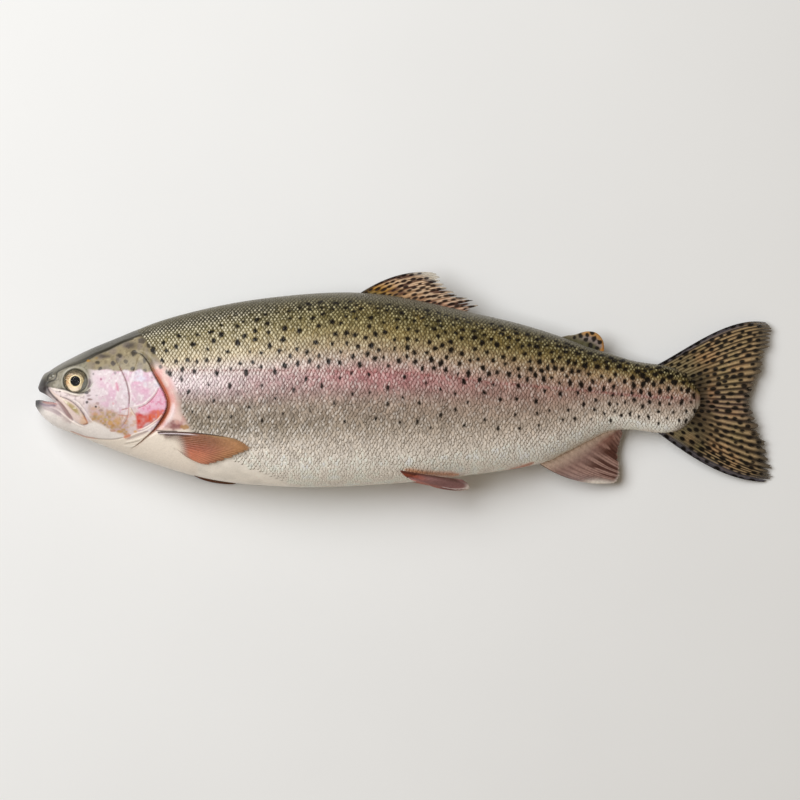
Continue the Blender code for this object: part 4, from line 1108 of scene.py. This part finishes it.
class Fin:
    """A thin closed shell of rays and skin from a base line to a line of tips, both 3-D lines.

    u runs from 0 at the base to 1 at the tips, v from 0 at the first ray to 1 at the last. bows
    gives the bow of the first and of the last ray, late how far out those bows are (1 is the
    middle), thick the thickness at the base and the tips, ridge how much of it the rays' ridges
    take, fray how far the skin is torn back between the rays, ragged how uneven the edge is, slit
    the v and depth of a deeper tear, and lie the height over the flank.
    """

    def __init__(self, name, base, tips, bows, thick, rays, fray, per_ray=8, steps=56, lie=None,
                 seed=1, ridge=0.5, slit=None, late=(1.0, 1.0), ragged=0.18):
        rng = np.random.default_rng(seed)
        self.name, self.rays = name, rays
        v = np.linspace(0, 1, rays * per_ray + 1)[:, None]
        u = np.linspace(0, 1, steps + 1)[None, :]
        base_line, tip_line = smooth_line(base, 8), smooth_line(tips, 8)
        ray = np.clip((v * rays).astype(int), 0, rays - 1)
        crest = np.abs(np.sin(math.pi * rays * v))
        fine_crest = np.abs(np.sin(2 * math.pi * rays * v))
        torn = np.interp(v, np.linspace(0, 1, len(fray)), fray)
        length = 1 - torn * ((1 - crest**0.7) * 0.6 + rng.random(rays)[ray] * 0.4)
        length = length - torn * ragged * rng.random(v.shape)
        if slit:
            length = length - slit[1] * np.exp(-((v - slit[0]) / 0.006) ** 2)
        reach = u * length
        root, tip = point_on(base_line, v[:, 0]), point_on(tip_line, v[:, 0])
        bow = np.array(bows[0]) * (1 - v) + np.array(bows[1]) * v
        bent = reach ** (late[0] + (late[1] - late[0]) * v)
        centre = (root[:, None] * (1 - reach[..., None]) + tip[:, None] * reach[..., None]
                  + (2 * bent * (1 - bent))[..., None] * bow[:, None])
        if lie:
            centre[..., 2] = lie(centre[..., 0], centre[..., 1], reach)
        normal = np.cross(np.gradient(centre, axis=0), np.gradient(centre, axis=1))
        normal /= np.linalg.norm(normal, axis=2, keepdims=True)
        branch = step(0.35, 0.65, reach)
        ridges = crest * (1 - branch) + fine_crest * branch
        half = (thick[0] + (thick[1] - thick[0]) * reach**0.7) / 2
        half = half * (1 - ridge + ridge * ridges) * np.clip(1.02 - u**14, 0.1, 1)
        self.u = np.concatenate([reach, reach])
        self.v = np.concatenate([np.broadcast_to(v, reach.shape)] * 2)
        self.ridges = np.concatenate([ridges, ridges])
        self.grid = np.concatenate([centre + half[..., None] * normal, centre - half[..., None] * normal])

    def mesh(self):
        """Both sheets of the fin, joined round their rim."""
        rows = self.grid.shape[0] // 2
        steps = self.grid.shape[1]
        k = np.arange(self.grid.shape[0] * steps).reshape(2, rows, steps)
        faces = []
        for sheet, turned in ((k[0], False), (k[1], True)):
            quads = np.stack([sheet[:-1, :-1], sheet[1:, :-1], sheet[1:, 1:], sheet[:-1, 1:]], -1)
            quads = quads.reshape(-1, 4)
            faces.append(quads[:, ::-1] if turned else quads)
        rim = [np.concatenate([s[:-1, 0], s[-1, :-1], s[:0:-1, -1], s[0, :0:-1]]) for s in k]
        after = [np.roll(r, -1) for r in rim]
        faces.append(np.stack([rim[0], rim[1], after[1], after[0]], -1))
        mesh = bpy.data.meshes.new(self.name)
        mesh.from_pydata(in_frame(self.grid.reshape(-1, 3)).tolist(), [],
                         np.concatenate(faces).tolist())
        mesh.shade_smooth()
        return mesh

    def spots(self, gap, long, wide, seed, start, end):
        """Dark marks scattered over the fin, drawn out along its rays.

        gap is the usual distance between two, long and wide their half length and width in mm, and
        start and end the shares of the rays between which they lie.
        """
        rng = np.random.default_rng(seed)
        rows = self.grid.shape[0] // 2
        place = self.grid[..., :2]
        along = np.gradient(place[:rows], axis=1)
        along /= np.linalg.norm(along, axis=2, keepdims=True)
        u, v = self.u[:rows], self.v[:rows]
        fits = np.argwhere((u > start) & (u < end) & (v > 0) & (v < 1))
        shade = np.zeros(self.u.shape)
        found = np.empty((0, 2))
        for i, j in rng.permutation(fits)[:MARK_TRIES]:
            centre = place[i, j]
            # Marks stand closer across the rays than along them.
            away = found - centre
            ahead = away @ along[i, j]
            beside = away @ np.array([-along[i, j][1], along[i, j][0]])
            room = gap * rng.uniform(0.85, 1.2) if len(found) else 0.0
            if len(found) and np.hypot(ahead * 0.85, beside * 1.1).min() < room:
                continue
            found = np.vstack([found, centre])
            size = rng.uniform(0.75, 1.25)
            length, width = long * size * rng.uniform(0.8, 1.25), wide * size
            away = place - centre
            ahead = away @ along[i, j]
            beside = away @ np.array([-along[i, j][1], along[i, j][0]])
            shade = np.maximum(shade, step(1.3, 0.75, np.hypot(ahead / length, beside / width)))
        return shade

    def dress(self, colours, clear, material, node):
        """Makes the piece from its colours and how clear its skin is, 0 to 1."""
        mesh = self.mesh()
        paint(mesh, np.clip(colours.reshape(-1, 3), 0, 0.95))
        write_values(mesh, "clear", clear.ravel())
        mesh.materials.append(material)
        piece = new_piece(self.name, mesh)
        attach(piece, "root")
        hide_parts(node)
        return piece


def fin_material(name, scale, amount):
    """Speckled skin that is clear where the piece says so."""
    material, nodes, shader = new_material(name, Specular_IOR_Level=0.25, Coat_Weight=0.12,
                                           Coat_Roughness=0.2)
    speckled(nodes, shader, scale, amount, 0.5, 0.0001)
    clear = nodes.out("ShaderNodeAttribute", attribute_name="clear", output=2)
    nodes.tree.links.new(nodes.out("ShaderNodeMath", {0: 1.0, 1: clear}, operation="SUBTRACT"),
                         shader.inputs["Alpha"])
    return material


caudal_skin = fin_material("caudal_skin", 800.0, 0.18)
tail = Fin("tail_fin",
           [(376.0, 14.5, 12.6), (392.0, 8.5, 11.4), (400.0, -4.5, 10.8), (392.0, -17.5, 11.4),
            (376.0, -22.5, 12.6)],
           [(446.0, 42.2, 3.7), (450.2, 38.6, 3.8), (450.2, 32.0, 4.4), (447.6, 22.0, 5.8),
            (443.0, 7.0, 7.0), (437.8, -5.0, 7.2), (440.5, -16.0, 6.4), (447.5, -33.0, 4.0),
            (451.0, -49.0, 1.8), (450.6, -53.0, 1.3), (445.0, -55.4, 1.5)],
           [(1.0, 13.0, 0), (1.0, -13.5, 0)], (5.0, 0.7), rays=34, late=(1.5, 1.15),
           fray=[0.0, 0.03, 0.08, 0.11, 0.12, 0.12, 0.12, 0.11, 0.10, 0.08, 0.05, 0.0],
           per_ray=8, steps=124, seed=5, slit=(0.94, 0.13), ragged=0.45)
u, v, crest = tail.u, tail.v, np.abs(np.sin(math.pi * tail.rays * tail.v))
blotch = mottle(tail.grid, 7.0, 31)
glaze = Glaze((132, 110, 78), u.shape)
glaze.add((104, 82, 74), step(0.34, 0.5, v) * step(0.72, 0.55, v) * 0.9)
glaze.add((84, 70, 50), step(0.55, 0.8, v) * 0.85)
glaze.add((196, 146, 100), 0.4 * step(0.5, 0.85, blotch) * step(0.85, 0.6, u))
glaze.add((104, 104, 58), 0.4 * step(0.5, 0.85, 1 - blotch) * step(0.85, 0.6, u))
glaze.add((212, 182, 138), 0.6 * crest**6 * step(0.2, 0.5, u) * step(0.95, 0.8, u))
glaze.add((40, 27, 20), 0.85 * step(0.75, 0.3, crest) * step(0.1, 0.5, u))
# The root is olive on the lobes and dark brown between them.
glaze.add((132, 122, 92), 0.7 * step(0.34, 0.12, u))
middle = step(0.20, 0.38, v) * step(0.82, 0.66, v)
glaze.add((50, 36, 24), 0.9 * middle * step(0.42, 0.12, u + 0.1 * (blotch - 0.5)))
smoke = step(0.78, 0.95, u + 0.06 * (mottle(tail.grid, 2.0, 32) - 0.5))
glaze.add((98, 90, 78), 0.75 * smoke)
glaze.add((40, 34, 30), 0.9 * smoke * step(0.7, 0.35, crest))
edges = np.maximum(step(0.075, 0.035, v) * step(0.9, 0.7, u), step(0.90, 0.96, v))
glaze.add((78, 77, 88), 0.85 * edges)
glaze.add((26, 22, 24), 0.9 * np.maximum(step(0.025, 0.01, v), step(0.975, 0.99, v)))
marks = tail.spots(3.75, 1.6, 1.08, 33, start=0.02, end=0.9)
glaze.add((12, 6, 4), 0.98 * marks)
tail.dress(glaze.colour, smoke * (0.25 + 0.5 * (1 - crest)) * (1 - edges), caudal_skin, "caudal_fin")

# ---------------------------------------------------------------- the dorsal fin
# The fin of the back leans far towards the tail. Its rays stand apart at the rear edge like the
# teeth of a comb, and it is orange-brown with rows of dark marks and pale tips.


def middle_height(x):
    return float(body_at(np.float64(min(x, FLESH_END)))[3])


def upright(points, droop=0.0):
    """Side-view points at the height of the body's middle plane, less what the fin droops."""
    return [(x, y, middle_height(x) - droop) for x, y in points]


dorsal_skin = fin_material("dorsal_skin", 800.0, 0.16)
dorsal = Fin("dorsal_fin_rays", upright([(196.0, 58.4), (211.0, 57.0), (236.0, 52.0), (257.0, 46.5)]),
             upright([(238.0, 72.8), (245.0, 71.9), (250.4, 67.2), (256.4, 61.8), (265.0, 57.2),
                      (272.0, 54.0), (267.6, 49.8)], 3.0),
             [(0.5, 7.6, 0), (0, 0.5, 0)], (3.0, 0.7), rays=14,
             fray=[0.0, 0.05, 0.14, 0.28, 0.42, 0.6, 0.66, 0.5], per_ray=14, steps=110, seed=6)
u, v, crest = dorsal.u, dorsal.v, dorsal.ridges
blotch = mottle(dorsal.grid, 5.0, 41)
glaze = Glaze((204, 164, 124), u.shape)
glaze.add((168, 124, 112), 0.8 * step(0.45, 0.9, v))
glaze.add((190, 142, 62), step(0.5, 0.15, u) * step(0.5, 0.2, v))
glaze.add((200, 146, 104), 0.4 * step(0.55, 0.8, blotch))
glaze.add((248, 224, 196), 0.7 * crest**2 * step(0.15, 0.5, u))
streak = step(0.50, 0.74, mottle(np.stack([v * 34, u * 5.0, v * 0], -1), 1.0, 42))
glaze.add((80, 44, 40), 0.85 * streak * step(0.06, 0.2, u) * step(0.95, 0.8, u))
glaze.add((72, 42, 34), 0.6 * (1 - crest) ** 1.5)
glaze.colour = glaze.colour * 0.9
glaze.add((112, 98, 58), 0.9 * step(0.16, 0.06, u))
pale = step(0.66, 0.92, u + 0.10 * step(0.5, 0.0, v) - 0.05)
glaze.add((232, 226, 210), 0.85 * pale)
glaze.add((118, 110, 94), 0.7 * pale * (1 - crest))
edge = step(0.08, 0.03, v) * step(0.9, 0.75, u)
glaze.add((60, 58, 58), 0.9 * edge)
marks = dorsal.spots(2.8, 1.7, 0.75, 43, start=0.05, end=0.80)
glaze.add((28, 10, 8), 0.96 * marks)
dorsal.dress(glaze.colour, pale * (0.25 + 0.4 * (1 - crest)), dorsal_skin, "dorsal_fin")

# ---------------------------------------------------------------- the adipose fin
# A small fleshy flap without rays in front of the tail, grey-olive with an orange rim and a few
# round black spots.
ADIPOSE_SPOTS = [(332.8, 34.0, 1.25), (336.8, 34.3, 1.1), (336.2, 31.5, 1.1), (341.0, 32.0, 1.4),
                 (344.4, 30.0, 1.2), (340.0, 35.8, 1.2), (338.8, 27.9, 1.3), (342.8, 26.3, 1.0),
                 (329.0, 32.8, 0.9)]
adipose_skin = fin_material("adipose_skin", 700.0, 0.14)
adipose = Fin("adipose_flap", upright([(318.0, 32.4), (333.0, 26.0), (345.0, 22.0)]),
              upright([(326.0, 33.9), (329.6, 34.6), (333.4, 35.9), (337.9, 36.6), (342.8, 35.4),
                       (346.5, 31.0), (347.2, 25.2)], 0.8),
              [(0, 0, 0), (0, 0, 0)], (3.6, 1.4), rays=8, fray=[0.0, 0.0], per_ray=8, steps=40,
              seed=7, ridge=0.12)
u, v = adipose.u, adipose.v
px, py = adipose.grid[..., 0], adipose.grid[..., 1]
glaze = Glaze((118, 108, 88), u.shape)
glaze.add((86, 82, 58), step(0.7, 0.3, u))
glaze.add((156, 140, 136), 0.8 * step(0.35, 0.6, u) * step(0.3, 0.55, v))
rim = np.maximum(step(0.66, 0.86, u), step(0.84, 0.94, v))
glaze.add((190, 142, 82), 0.92 * rim * step(0.28, 0.45, v))
glaze.add((194, 128, 52), 0.8 * rim * step(0.75, 0.95, v))
marks = np.zeros(u.shape)
for cx, cy, radius in ADIPOSE_SPOTS:
    far = np.hypot(px - cx, py - cy) / (1.25 * radius) + 0.5 * (mottle(adipose.grid, 1.2, 52) - 0.5)
    marks = np.maximum(marks, step(1.25, 0.75, far))
glaze.add((12, 6, 5), 0.97 * marks)
adipose.dress(glaze.colour, np.zeros(u.shape), adipose_skin, "adipose_fin")

# ---------------------------------------------------------------- the anal fin
# The fin behind the vent hangs down towards the floor. It is mauve-brown with dark streaks between
# its rays, and its front tip is white.
anal_skin = fin_material("anal_skin", 700.0, 0.16)
anal = Fin("anal_fin_rays", upright([(305.0, -42.5), (319.0, -36.5), (337.0, -28.0), (356.5, -21.0)]),
           upright([(347.0, -56.5), (354.0, -55.8), (357.4, -52.3), (357.4, -47.0), (356.0, -37.0),
                    (358.5, -26.0)], 7.0),
           [(-2.0, -7.0, 0), (0, 0, 0)], (3.2, 0.7), rays=13,
           fray=[0.0, 0.0, 0.04, 0.10, 0.12, 0.12, 0.08], per_ray=14, steps=100, seed=8)
u, v, crest = anal.u, anal.v, anal.ridges
blotch = mottle(anal.grid, 6.0, 61)
glaze = Glaze((148, 118, 110), u.shape)
glaze.add((152, 104, 90), 0.8 * step(0.55, 0.85, v))
glaze.add((164, 142, 140), 0.8 * step(0.3, 0.08, v) * step(0.25, 0.6, u))
glaze.add((104, 74, 62), 0.5 * (1 - crest) * step(0.2, 0.5, u))
streak = step(0.48, 0.70, mottle(np.stack([v * 20, u * 2.6, v * 0], -1), 1.0, 62))
streak = streak * step(0.95, 0.75, v)
glaze.add((74, 38, 28), 0.85 * streak * step(0.3, 0.6, u) * step(0.24, 0.36, v) * step(1.0, 0.9, u))
glaze.add((206, 168, 156), 0.45 * crest**2 * step(0.2, 0.5, u) * (1 - streak))
glaze.add((212, 188, 170), step(0.34, 0.06, u))
white = step(0.33, 0.14, v + 0.02 / np.maximum(u, 0.1)) * step(0.60, 0.84, u)
glaze.add((242, 234, 224), 0.95 * np.maximum(white, 0.6 * step(0.92, 0.99, u)))
edge = step(0.035, 0.008, v) * step(0.62, 0.5, u)
glaze.add((96, 66, 50), 0.9 * edge)
anal.dress(glaze.colour, 0.15 * step(0.85, 1.0, u) * (1 - crest), anal_skin, "anal_fin")

# ---------------------------------------------------------------- the pectoral fins
# One behind each gill cover. The left one lies back along the flank, orange-brown with a dark front
# ray. The right one is pressed between the belly and the floor.


def flank_height(x, y, side):
    """Height of the flank over a place seen from the side. side is 1 for the left and -1 for the right."""
    back, belly, half_width, middle, broad = body_at(x)
    share = np.minimum(1.0, np.abs(y - broad) / np.where(y > broad, back - broad, broad - belly))
    return middle + side * half_width * (1 - share**2.1) ** (1 / 2.1)


pectoral_skin = fin_material("pectoral_skin", 700.0, 0.12)
left_pectoral = Fin("pectoral_rays_left", [(75.0, -24.8, 0), (79.5, -30.5, 0), (85.5, -34.5, 0)],
                    [(121.3, -28.7, 0), (126.3, -30.9, 0), (130.3, -33.3, 0), (132.3, -35.4, 0),
                     (128.0, -37.6, 0), (121.0, -40.2, 0), (112.7, -43.2, 0), (104.5, -44.8, 0),
                     (97.9, -42.9, 0), (92.8, -39.8, 0)],
                    [(0, 2.9, 0), (0, -0.4, 0)], (2.2, 0.7), rays=15,
                    fray=[0.0, 0.02, 0.05, 0.07, 0.08, 0.06, 0.03], per_ray=12, steps=60, seed=9,
                    lie=lambda x, y, u: flank_height(x, y, 1) + 0.4 + 1.6 * u)
right_pectoral = Fin("pectoral_rays_right",
                     [(77.0, -26.0, 8.5), (79.5, -31.0, 11.5), (83.0, -35.5, 15.0)],
                     [(126.0, -53.0, 1.6), (121.0, -56.7, 1.5), (110.0, -56.1, 1.6),
                      (101.0, -53.8, 2.0), (93.0, -49.6, 4.0)],
                     [(0, 1.0, -2.0), (0, 0.5, -1.5)], (2.0, 0.7), rays=13,
                     fray=[0.0, 0.0], per_ray=12, steps=60, seed=10)
for fin, node in ((left_pectoral, "pectoral_fin_left"), (right_pectoral, "pectoral_fin_right")):
    u, v, crest = fin.u, fin.v, fin.ridges
    px, py = fin.grid[..., 0], fin.grid[..., 1]
    blotch = mottle(fin.grid, 5.0, 91)
    # Brown in front, reddish in the middle, salmon along the trailing edge and tan to the tips.
    glaze = Glaze((150, 98, 72), u.shape)
    low = step(-29.5, -35.0, py + 0.10 * (px - 95))
    glaze.add((168, 100, 80), low)
    glaze.add((212, 130, 102), 0.95 * step(-33.5, -38.5, py + 0.10 * (px - 95))
              * step(112, 100, px + 4 * (blotch - 0.5)))
    glaze.add((188, 136, 88), 0.85 * step(106, 124, px + 6 * (blotch - 0.5)))
    glaze.add((178, 142, 96), 0.8 * step(0.16, 0.05, v) * step(0.5, 0.8, u))
    glaze.add((108, 66, 46), 0.35 * (1 - crest) * step(0.25, 0.6, u))
    glaze.add((222, 176, 134), 0.30 * crest * step(0.4, 0.9, u))
    root = step(93.0, 84.0, px + 0.30 * (py + 30))
    glaze.add((172, 150, 144), 0.9 * root)
    glaze.add((220, 206, 192), root * step(-27.0, -31.0, py))
    hidden = step(81.0, 78.0, px) * step(0.10, 0.14, v)
    glaze.add((58, 42, 38), 0.9 * step(0.055, 0.015, v) * step(1.0, 0.75, u))
    glaze.add((212, 202, 208), 0.9 * step(0.04, 0.06, v) * step(0.13, 0.09, v) * step(0.52, 0.36, u))
    glaze.add((62, 42, 40), 0.85 * step(0.11, 0.14, v) * step(0.21, 0.16, v) * step(0.42, 0.26, u))
    clear = np.maximum(0.75 * step(0.84, 1.0, u) * (1 - 0.5 * crest),
                       np.maximum(hidden, root * step(-25.6, -28.6, py + 0.2 * (84 - px))))
    # The right fin lies in the shade under the belly and is painted a darker brown as painted shade.
    if node == "pectoral_fin_right":
        glaze.add((74, 46, 32), 0.85)
        clear = 0.0 * clear
    fin.dress(glaze.colour, clear, pectoral_skin, node)

# ---------------------------------------------------------------- the pelvic fins
# A pair of short folded fins below the belly, seen nearly edge-on. They are mauve-brown with a
# white margin at the tip.
pelvic_skin = fin_material("pelvic_skin", 700.0, 0.12)


def folded(plane, side):
    """The lie of a fin that leans against the belly and stands out towards its tip."""
    def lie(x, y, u):
        out = plane + (3.0 * u - 6.0 * step(-53.0, -59.5, y)) * side
        return side * np.maximum(side * flank_height(x, y, side) + 0.4, side * out)
    return lie


for word, side, spread, lower in (("left", 1, 11.0, 0.0), ("right", -1, -9.0, 1.0)):
    plane = middle_height(226.0) + spread
    fin = Fin("pelvic_rays_" + word,
              [(222.6, -48.2 - lower, plane), (226.0, -51.4 - lower, plane),
               (231.0, -53.6 - lower, plane)],
              [(260.5, -53.8 - lower, plane), (265.4, -57.4 - lower, plane),
               (263.4, -59.6 - lower, plane), (256.5, -59.9 - lower, plane),
               (249.5, -58.6 - lower, plane)],
              [(0, -0.6, 0), (0, -0.6, 0)], (2.4, 0.7), rays=10,
              fray=[0.0, 0.03, 0.05, 0.05, 0.04], per_ray=12, steps=50, seed=12 + side,
              lie=folded(plane, side))
    u, v, crest = fin.u, fin.v, fin.ridges
    glaze = Glaze((148, 108, 106), u.shape)
    glaze.add((160, 84, 62), step(0.45, 0.10, u) * step(0.7, 0.3, v))
    glaze.add((216, 150, 138), 0.8 * step(0.6, 0.9, v) * step(0.9, 0.6, u))
    glaze.add((110, 74, 66), 0.5 * (1 - crest) * step(0.2, 0.5, u))
    glaze.add((84, 52, 42), 0.85 * step(0.26, 0.06, v) * step(0.95, 0.85, u))
    glaze.add((232, 220, 212), 0.95 * step(0.9, 0.98, u) * step(0.1, 0.3, v))
    fin.dress(glaze.colour, 0.1 * step(0.9, 1.0, u), pelvic_skin, "pelvic_fin_" + word)

# ---------------------------------------------------------------- the eyes
# Each eye is a flat gold iris round a black pupil, under a clear dome. It sits in a round socket
# and hardly turns.
IRIS_RADIUS = 6.5
iris_finish, nodes, shader = new_material("iris_gold", Specular_IOR_Level=0.1)
speckled(nodes, shader, 1500.0, 0.08, 0.5, 0.00002)
cornea_glass, nodes, shader = new_material("cornea_glass", Base_Color=(1, 1, 1, 1), Roughness=0.08,
                                           IOR=1.15, Transmission_Weight=1.0)
rays_in = nodes.out("ShaderNodeLightPath", output=1)
see_through = nodes.out("ShaderNodeBsdfTransparent")
both = nodes.add("ShaderNodeMixShader", {0: rays_in, 1: shader.outputs[0], 2: see_through})
for node in nodes.tree.nodes:
    if node.type == "OUTPUT_MATERIAL":
        nodes.tree.links.new(both.outputs[0], node.inputs["Surface"])


def pupil_bulge(angle, far):
    """How far the pupil's edge is drawn out at one corner, as a factor on its radius."""
    return 1.0 + 0.10 * np.maximum(0.0, np.cos(angle + 1.43)) ** 3 * np.exp(-((far - 3.0) / 1.2) ** 2)


for word, side in (("left", 1), ("right", -1)):
    low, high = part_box("eye_" + word)
    centre = (np.array((low + high) / 2) - FISH_ORIGIN) * 1000
    # The iris is a shallow dish. Rings of points run from the pupil's floor to the iris's rim.
    radius = np.concatenate([np.linspace(0.0, 2.6, 12), np.linspace(2.7, IRIS_RADIUS, 42),
                             [IRIS_RADIUS + 0.3, IRIS_RADIUS + 0.3]])
    turn = np.linspace(0, 2 * math.pi, 97)[:-1]
    r, t = np.meshgrid(radius, turn, indexing="ij")
    bulge = pupil_bulge(t, r)
    pupil = step(3.0, 2.7, r / bulge)
    height = 3.3 - 0.9 * pupil - 0.012 * r**2 + 0.16 * np.exp(-((r / bulge - 3.35) / 0.3) ** 2)
    height[-2] -= 0.6
    height[-1] = -1.0
    grid = np.stack([centre[0] + r * np.cos(t), centre[1] + r * np.sin(t),
                     centre[2] + side * height], -1)
    mesh = closed_loft("eyeball_" + word, grid[1:])
    mesh.shade_smooth()
    points = places_of(mesh)
    dx, dy = points[:, 0] - centre[0], points[:, 1] - centre[1]
    far = np.hypot(dx, dy)
    angle = np.arctan2(dy, dx)
    far = far / pupil_bulge(angle, far)
    fibre = mottle(np.stack([angle * 9, far * 0.9, 0 * far], -1), 1.0, 71)
    blotch = mottle(points, 1.7, 72)
    glaze = Glaze((196, 176, 136), far.shape)
    for toward, shade in ((math.pi, (204, 152, 100)), (0.0, (142, 120, 74)),
                          (1.57, (142, 128, 112)), (-1.57, (226, 208, 186))):
        glaze.add(shade, 0.85 * np.maximum(0.0, np.cos(angle - toward)) ** 1.5)
    glaze.add((98, 84, 58), 0.6 * step(0.5, 0.8, blotch) * step(3.9, 4.5, far))
    glaze.add((226, 212, 172), 0.45 * step(0.55, 0.85, fibre) * step(3.6, 4.2, far))
    glaze.colour = glaze.colour * 0.80
    crescent = step(5.2, 6.0, far + 0.65 * np.cos(angle - 0.9))
    crescent = np.maximum(crescent, step(0.95, 1.05, np.hypot((dx - 0.55) / 6.0, dy / 6.6)))
    glaze.add((58, 52, 38), 0.9 * crescent)
    glaze.add((204, 186, 148), step(3.95, 3.55, far))
    glaze.add((8, 8, 10), step(3.15, 2.85, far))
    paint(mesh, glaze.colour)
    mesh.materials.append(iris_finish)
    ball = new_piece("eyeball_" + word, mesh)
    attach(ball, "root")
    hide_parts("eye_" + word)
    # The cornea is a clear dome that stands over the iris.
    r, t = np.meshgrid(np.linspace(0.02, 1.0, 24), turn, indexing="ij")
    dome = np.stack([centre[0] + 6.9 * r * np.cos(t), centre[1] + 6.9 * r * np.sin(t),
                     centre[2] + side * (2.9 + 1.9 * (1 - r**2) ** 0.5)], -1)
    mesh = closed_loft("cornea_" + word, dome)
    mesh.shade_smooth()
    mesh.materials.append(cornea_glass)
    cornea = new_piece("cornea_" + word, mesh)
    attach(cornea, "root")
    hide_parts("eye_" + word)

# ---------------------------------------------------------------- the studio
# A plain pale floor that the fish lies on, a soft lamp behind its back and a pale room.
floor_mesh = bpy.data.meshes.new("studio_floor")
floor_mesh.from_pydata([(-3, -3, -0.00005), (3, -3, -0.00005), (3, 3, -0.00005), (-3, 3, -0.00005)],
                       [], [(0, 1, 2, 3)])
floor = new_piece("studio_floor", floor_mesh)
paper, nodes, shader = new_material("floor_paper", Roughness=0.7)
grain = nodes.out("ShaderNodeTexNoise", {"Scale": 40.0, "Detail": 4.0})
ramp = nodes.out("ShaderNodeMapRange", {0: grain, 1: 0.3, 2: 0.7, 3: 0.88, 4: 0.90})
tint = nodes.out("ShaderNodeVectorMath", {0: (0.975, 0.988, 1.0), "Scale": ramp}, operation="SCALE")
nodes.tree.links.new(tint, shader.inputs["Base Color"])
floor_mesh.materials.append(paper)

lamp_data = bpy.data.lights.new("soft_lamp", "AREA")
lamp_data.energy = 40.0
lamp_data.color = (0.970, 0.988, 1.0)
lamp_data.size = 1.6
lamp = bpy.data.objects.new("soft_lamp", lamp_data)
lamp.location = (-0.95, 0.55, 1.60)
lamp.rotation_euler = (-lamp.location).to_track_quat("-Z", "Y").to_euler()
bpy.context.scene.collection.objects.link(lamp)

room = bpy.data.worlds.new("pale_room")
room.use_nodes = True
room.node_tree.nodes["Background"].inputs["Color"].default_value = (1.0, 0.80, 0.56, 1)
room.node_tree.nodes["Background"].inputs["Strength"].default_value = 0.205
bpy.context.scene.world = room
bpy.context.scene.view_settings.view_transform = "Standard"

CAMERA_FAR = 12.0         # metres from the camera to the fish
VIEW_WIDTH = 0.4885       # metres across the picture at the fish
camera_data = bpy.data.cameras.new("camera")
camera_data.sensor_width = 36.0
camera_data.lens = camera_data.sensor_width * CAMERA_FAR / VIEW_WIDTH
camera = bpy.data.objects.new("camera", camera_data)
camera.location = (-0.0030, -0.01115, 12.018)
bpy.context.scene.collection.objects.link(camera)
bpy.context.scene.camera = camera
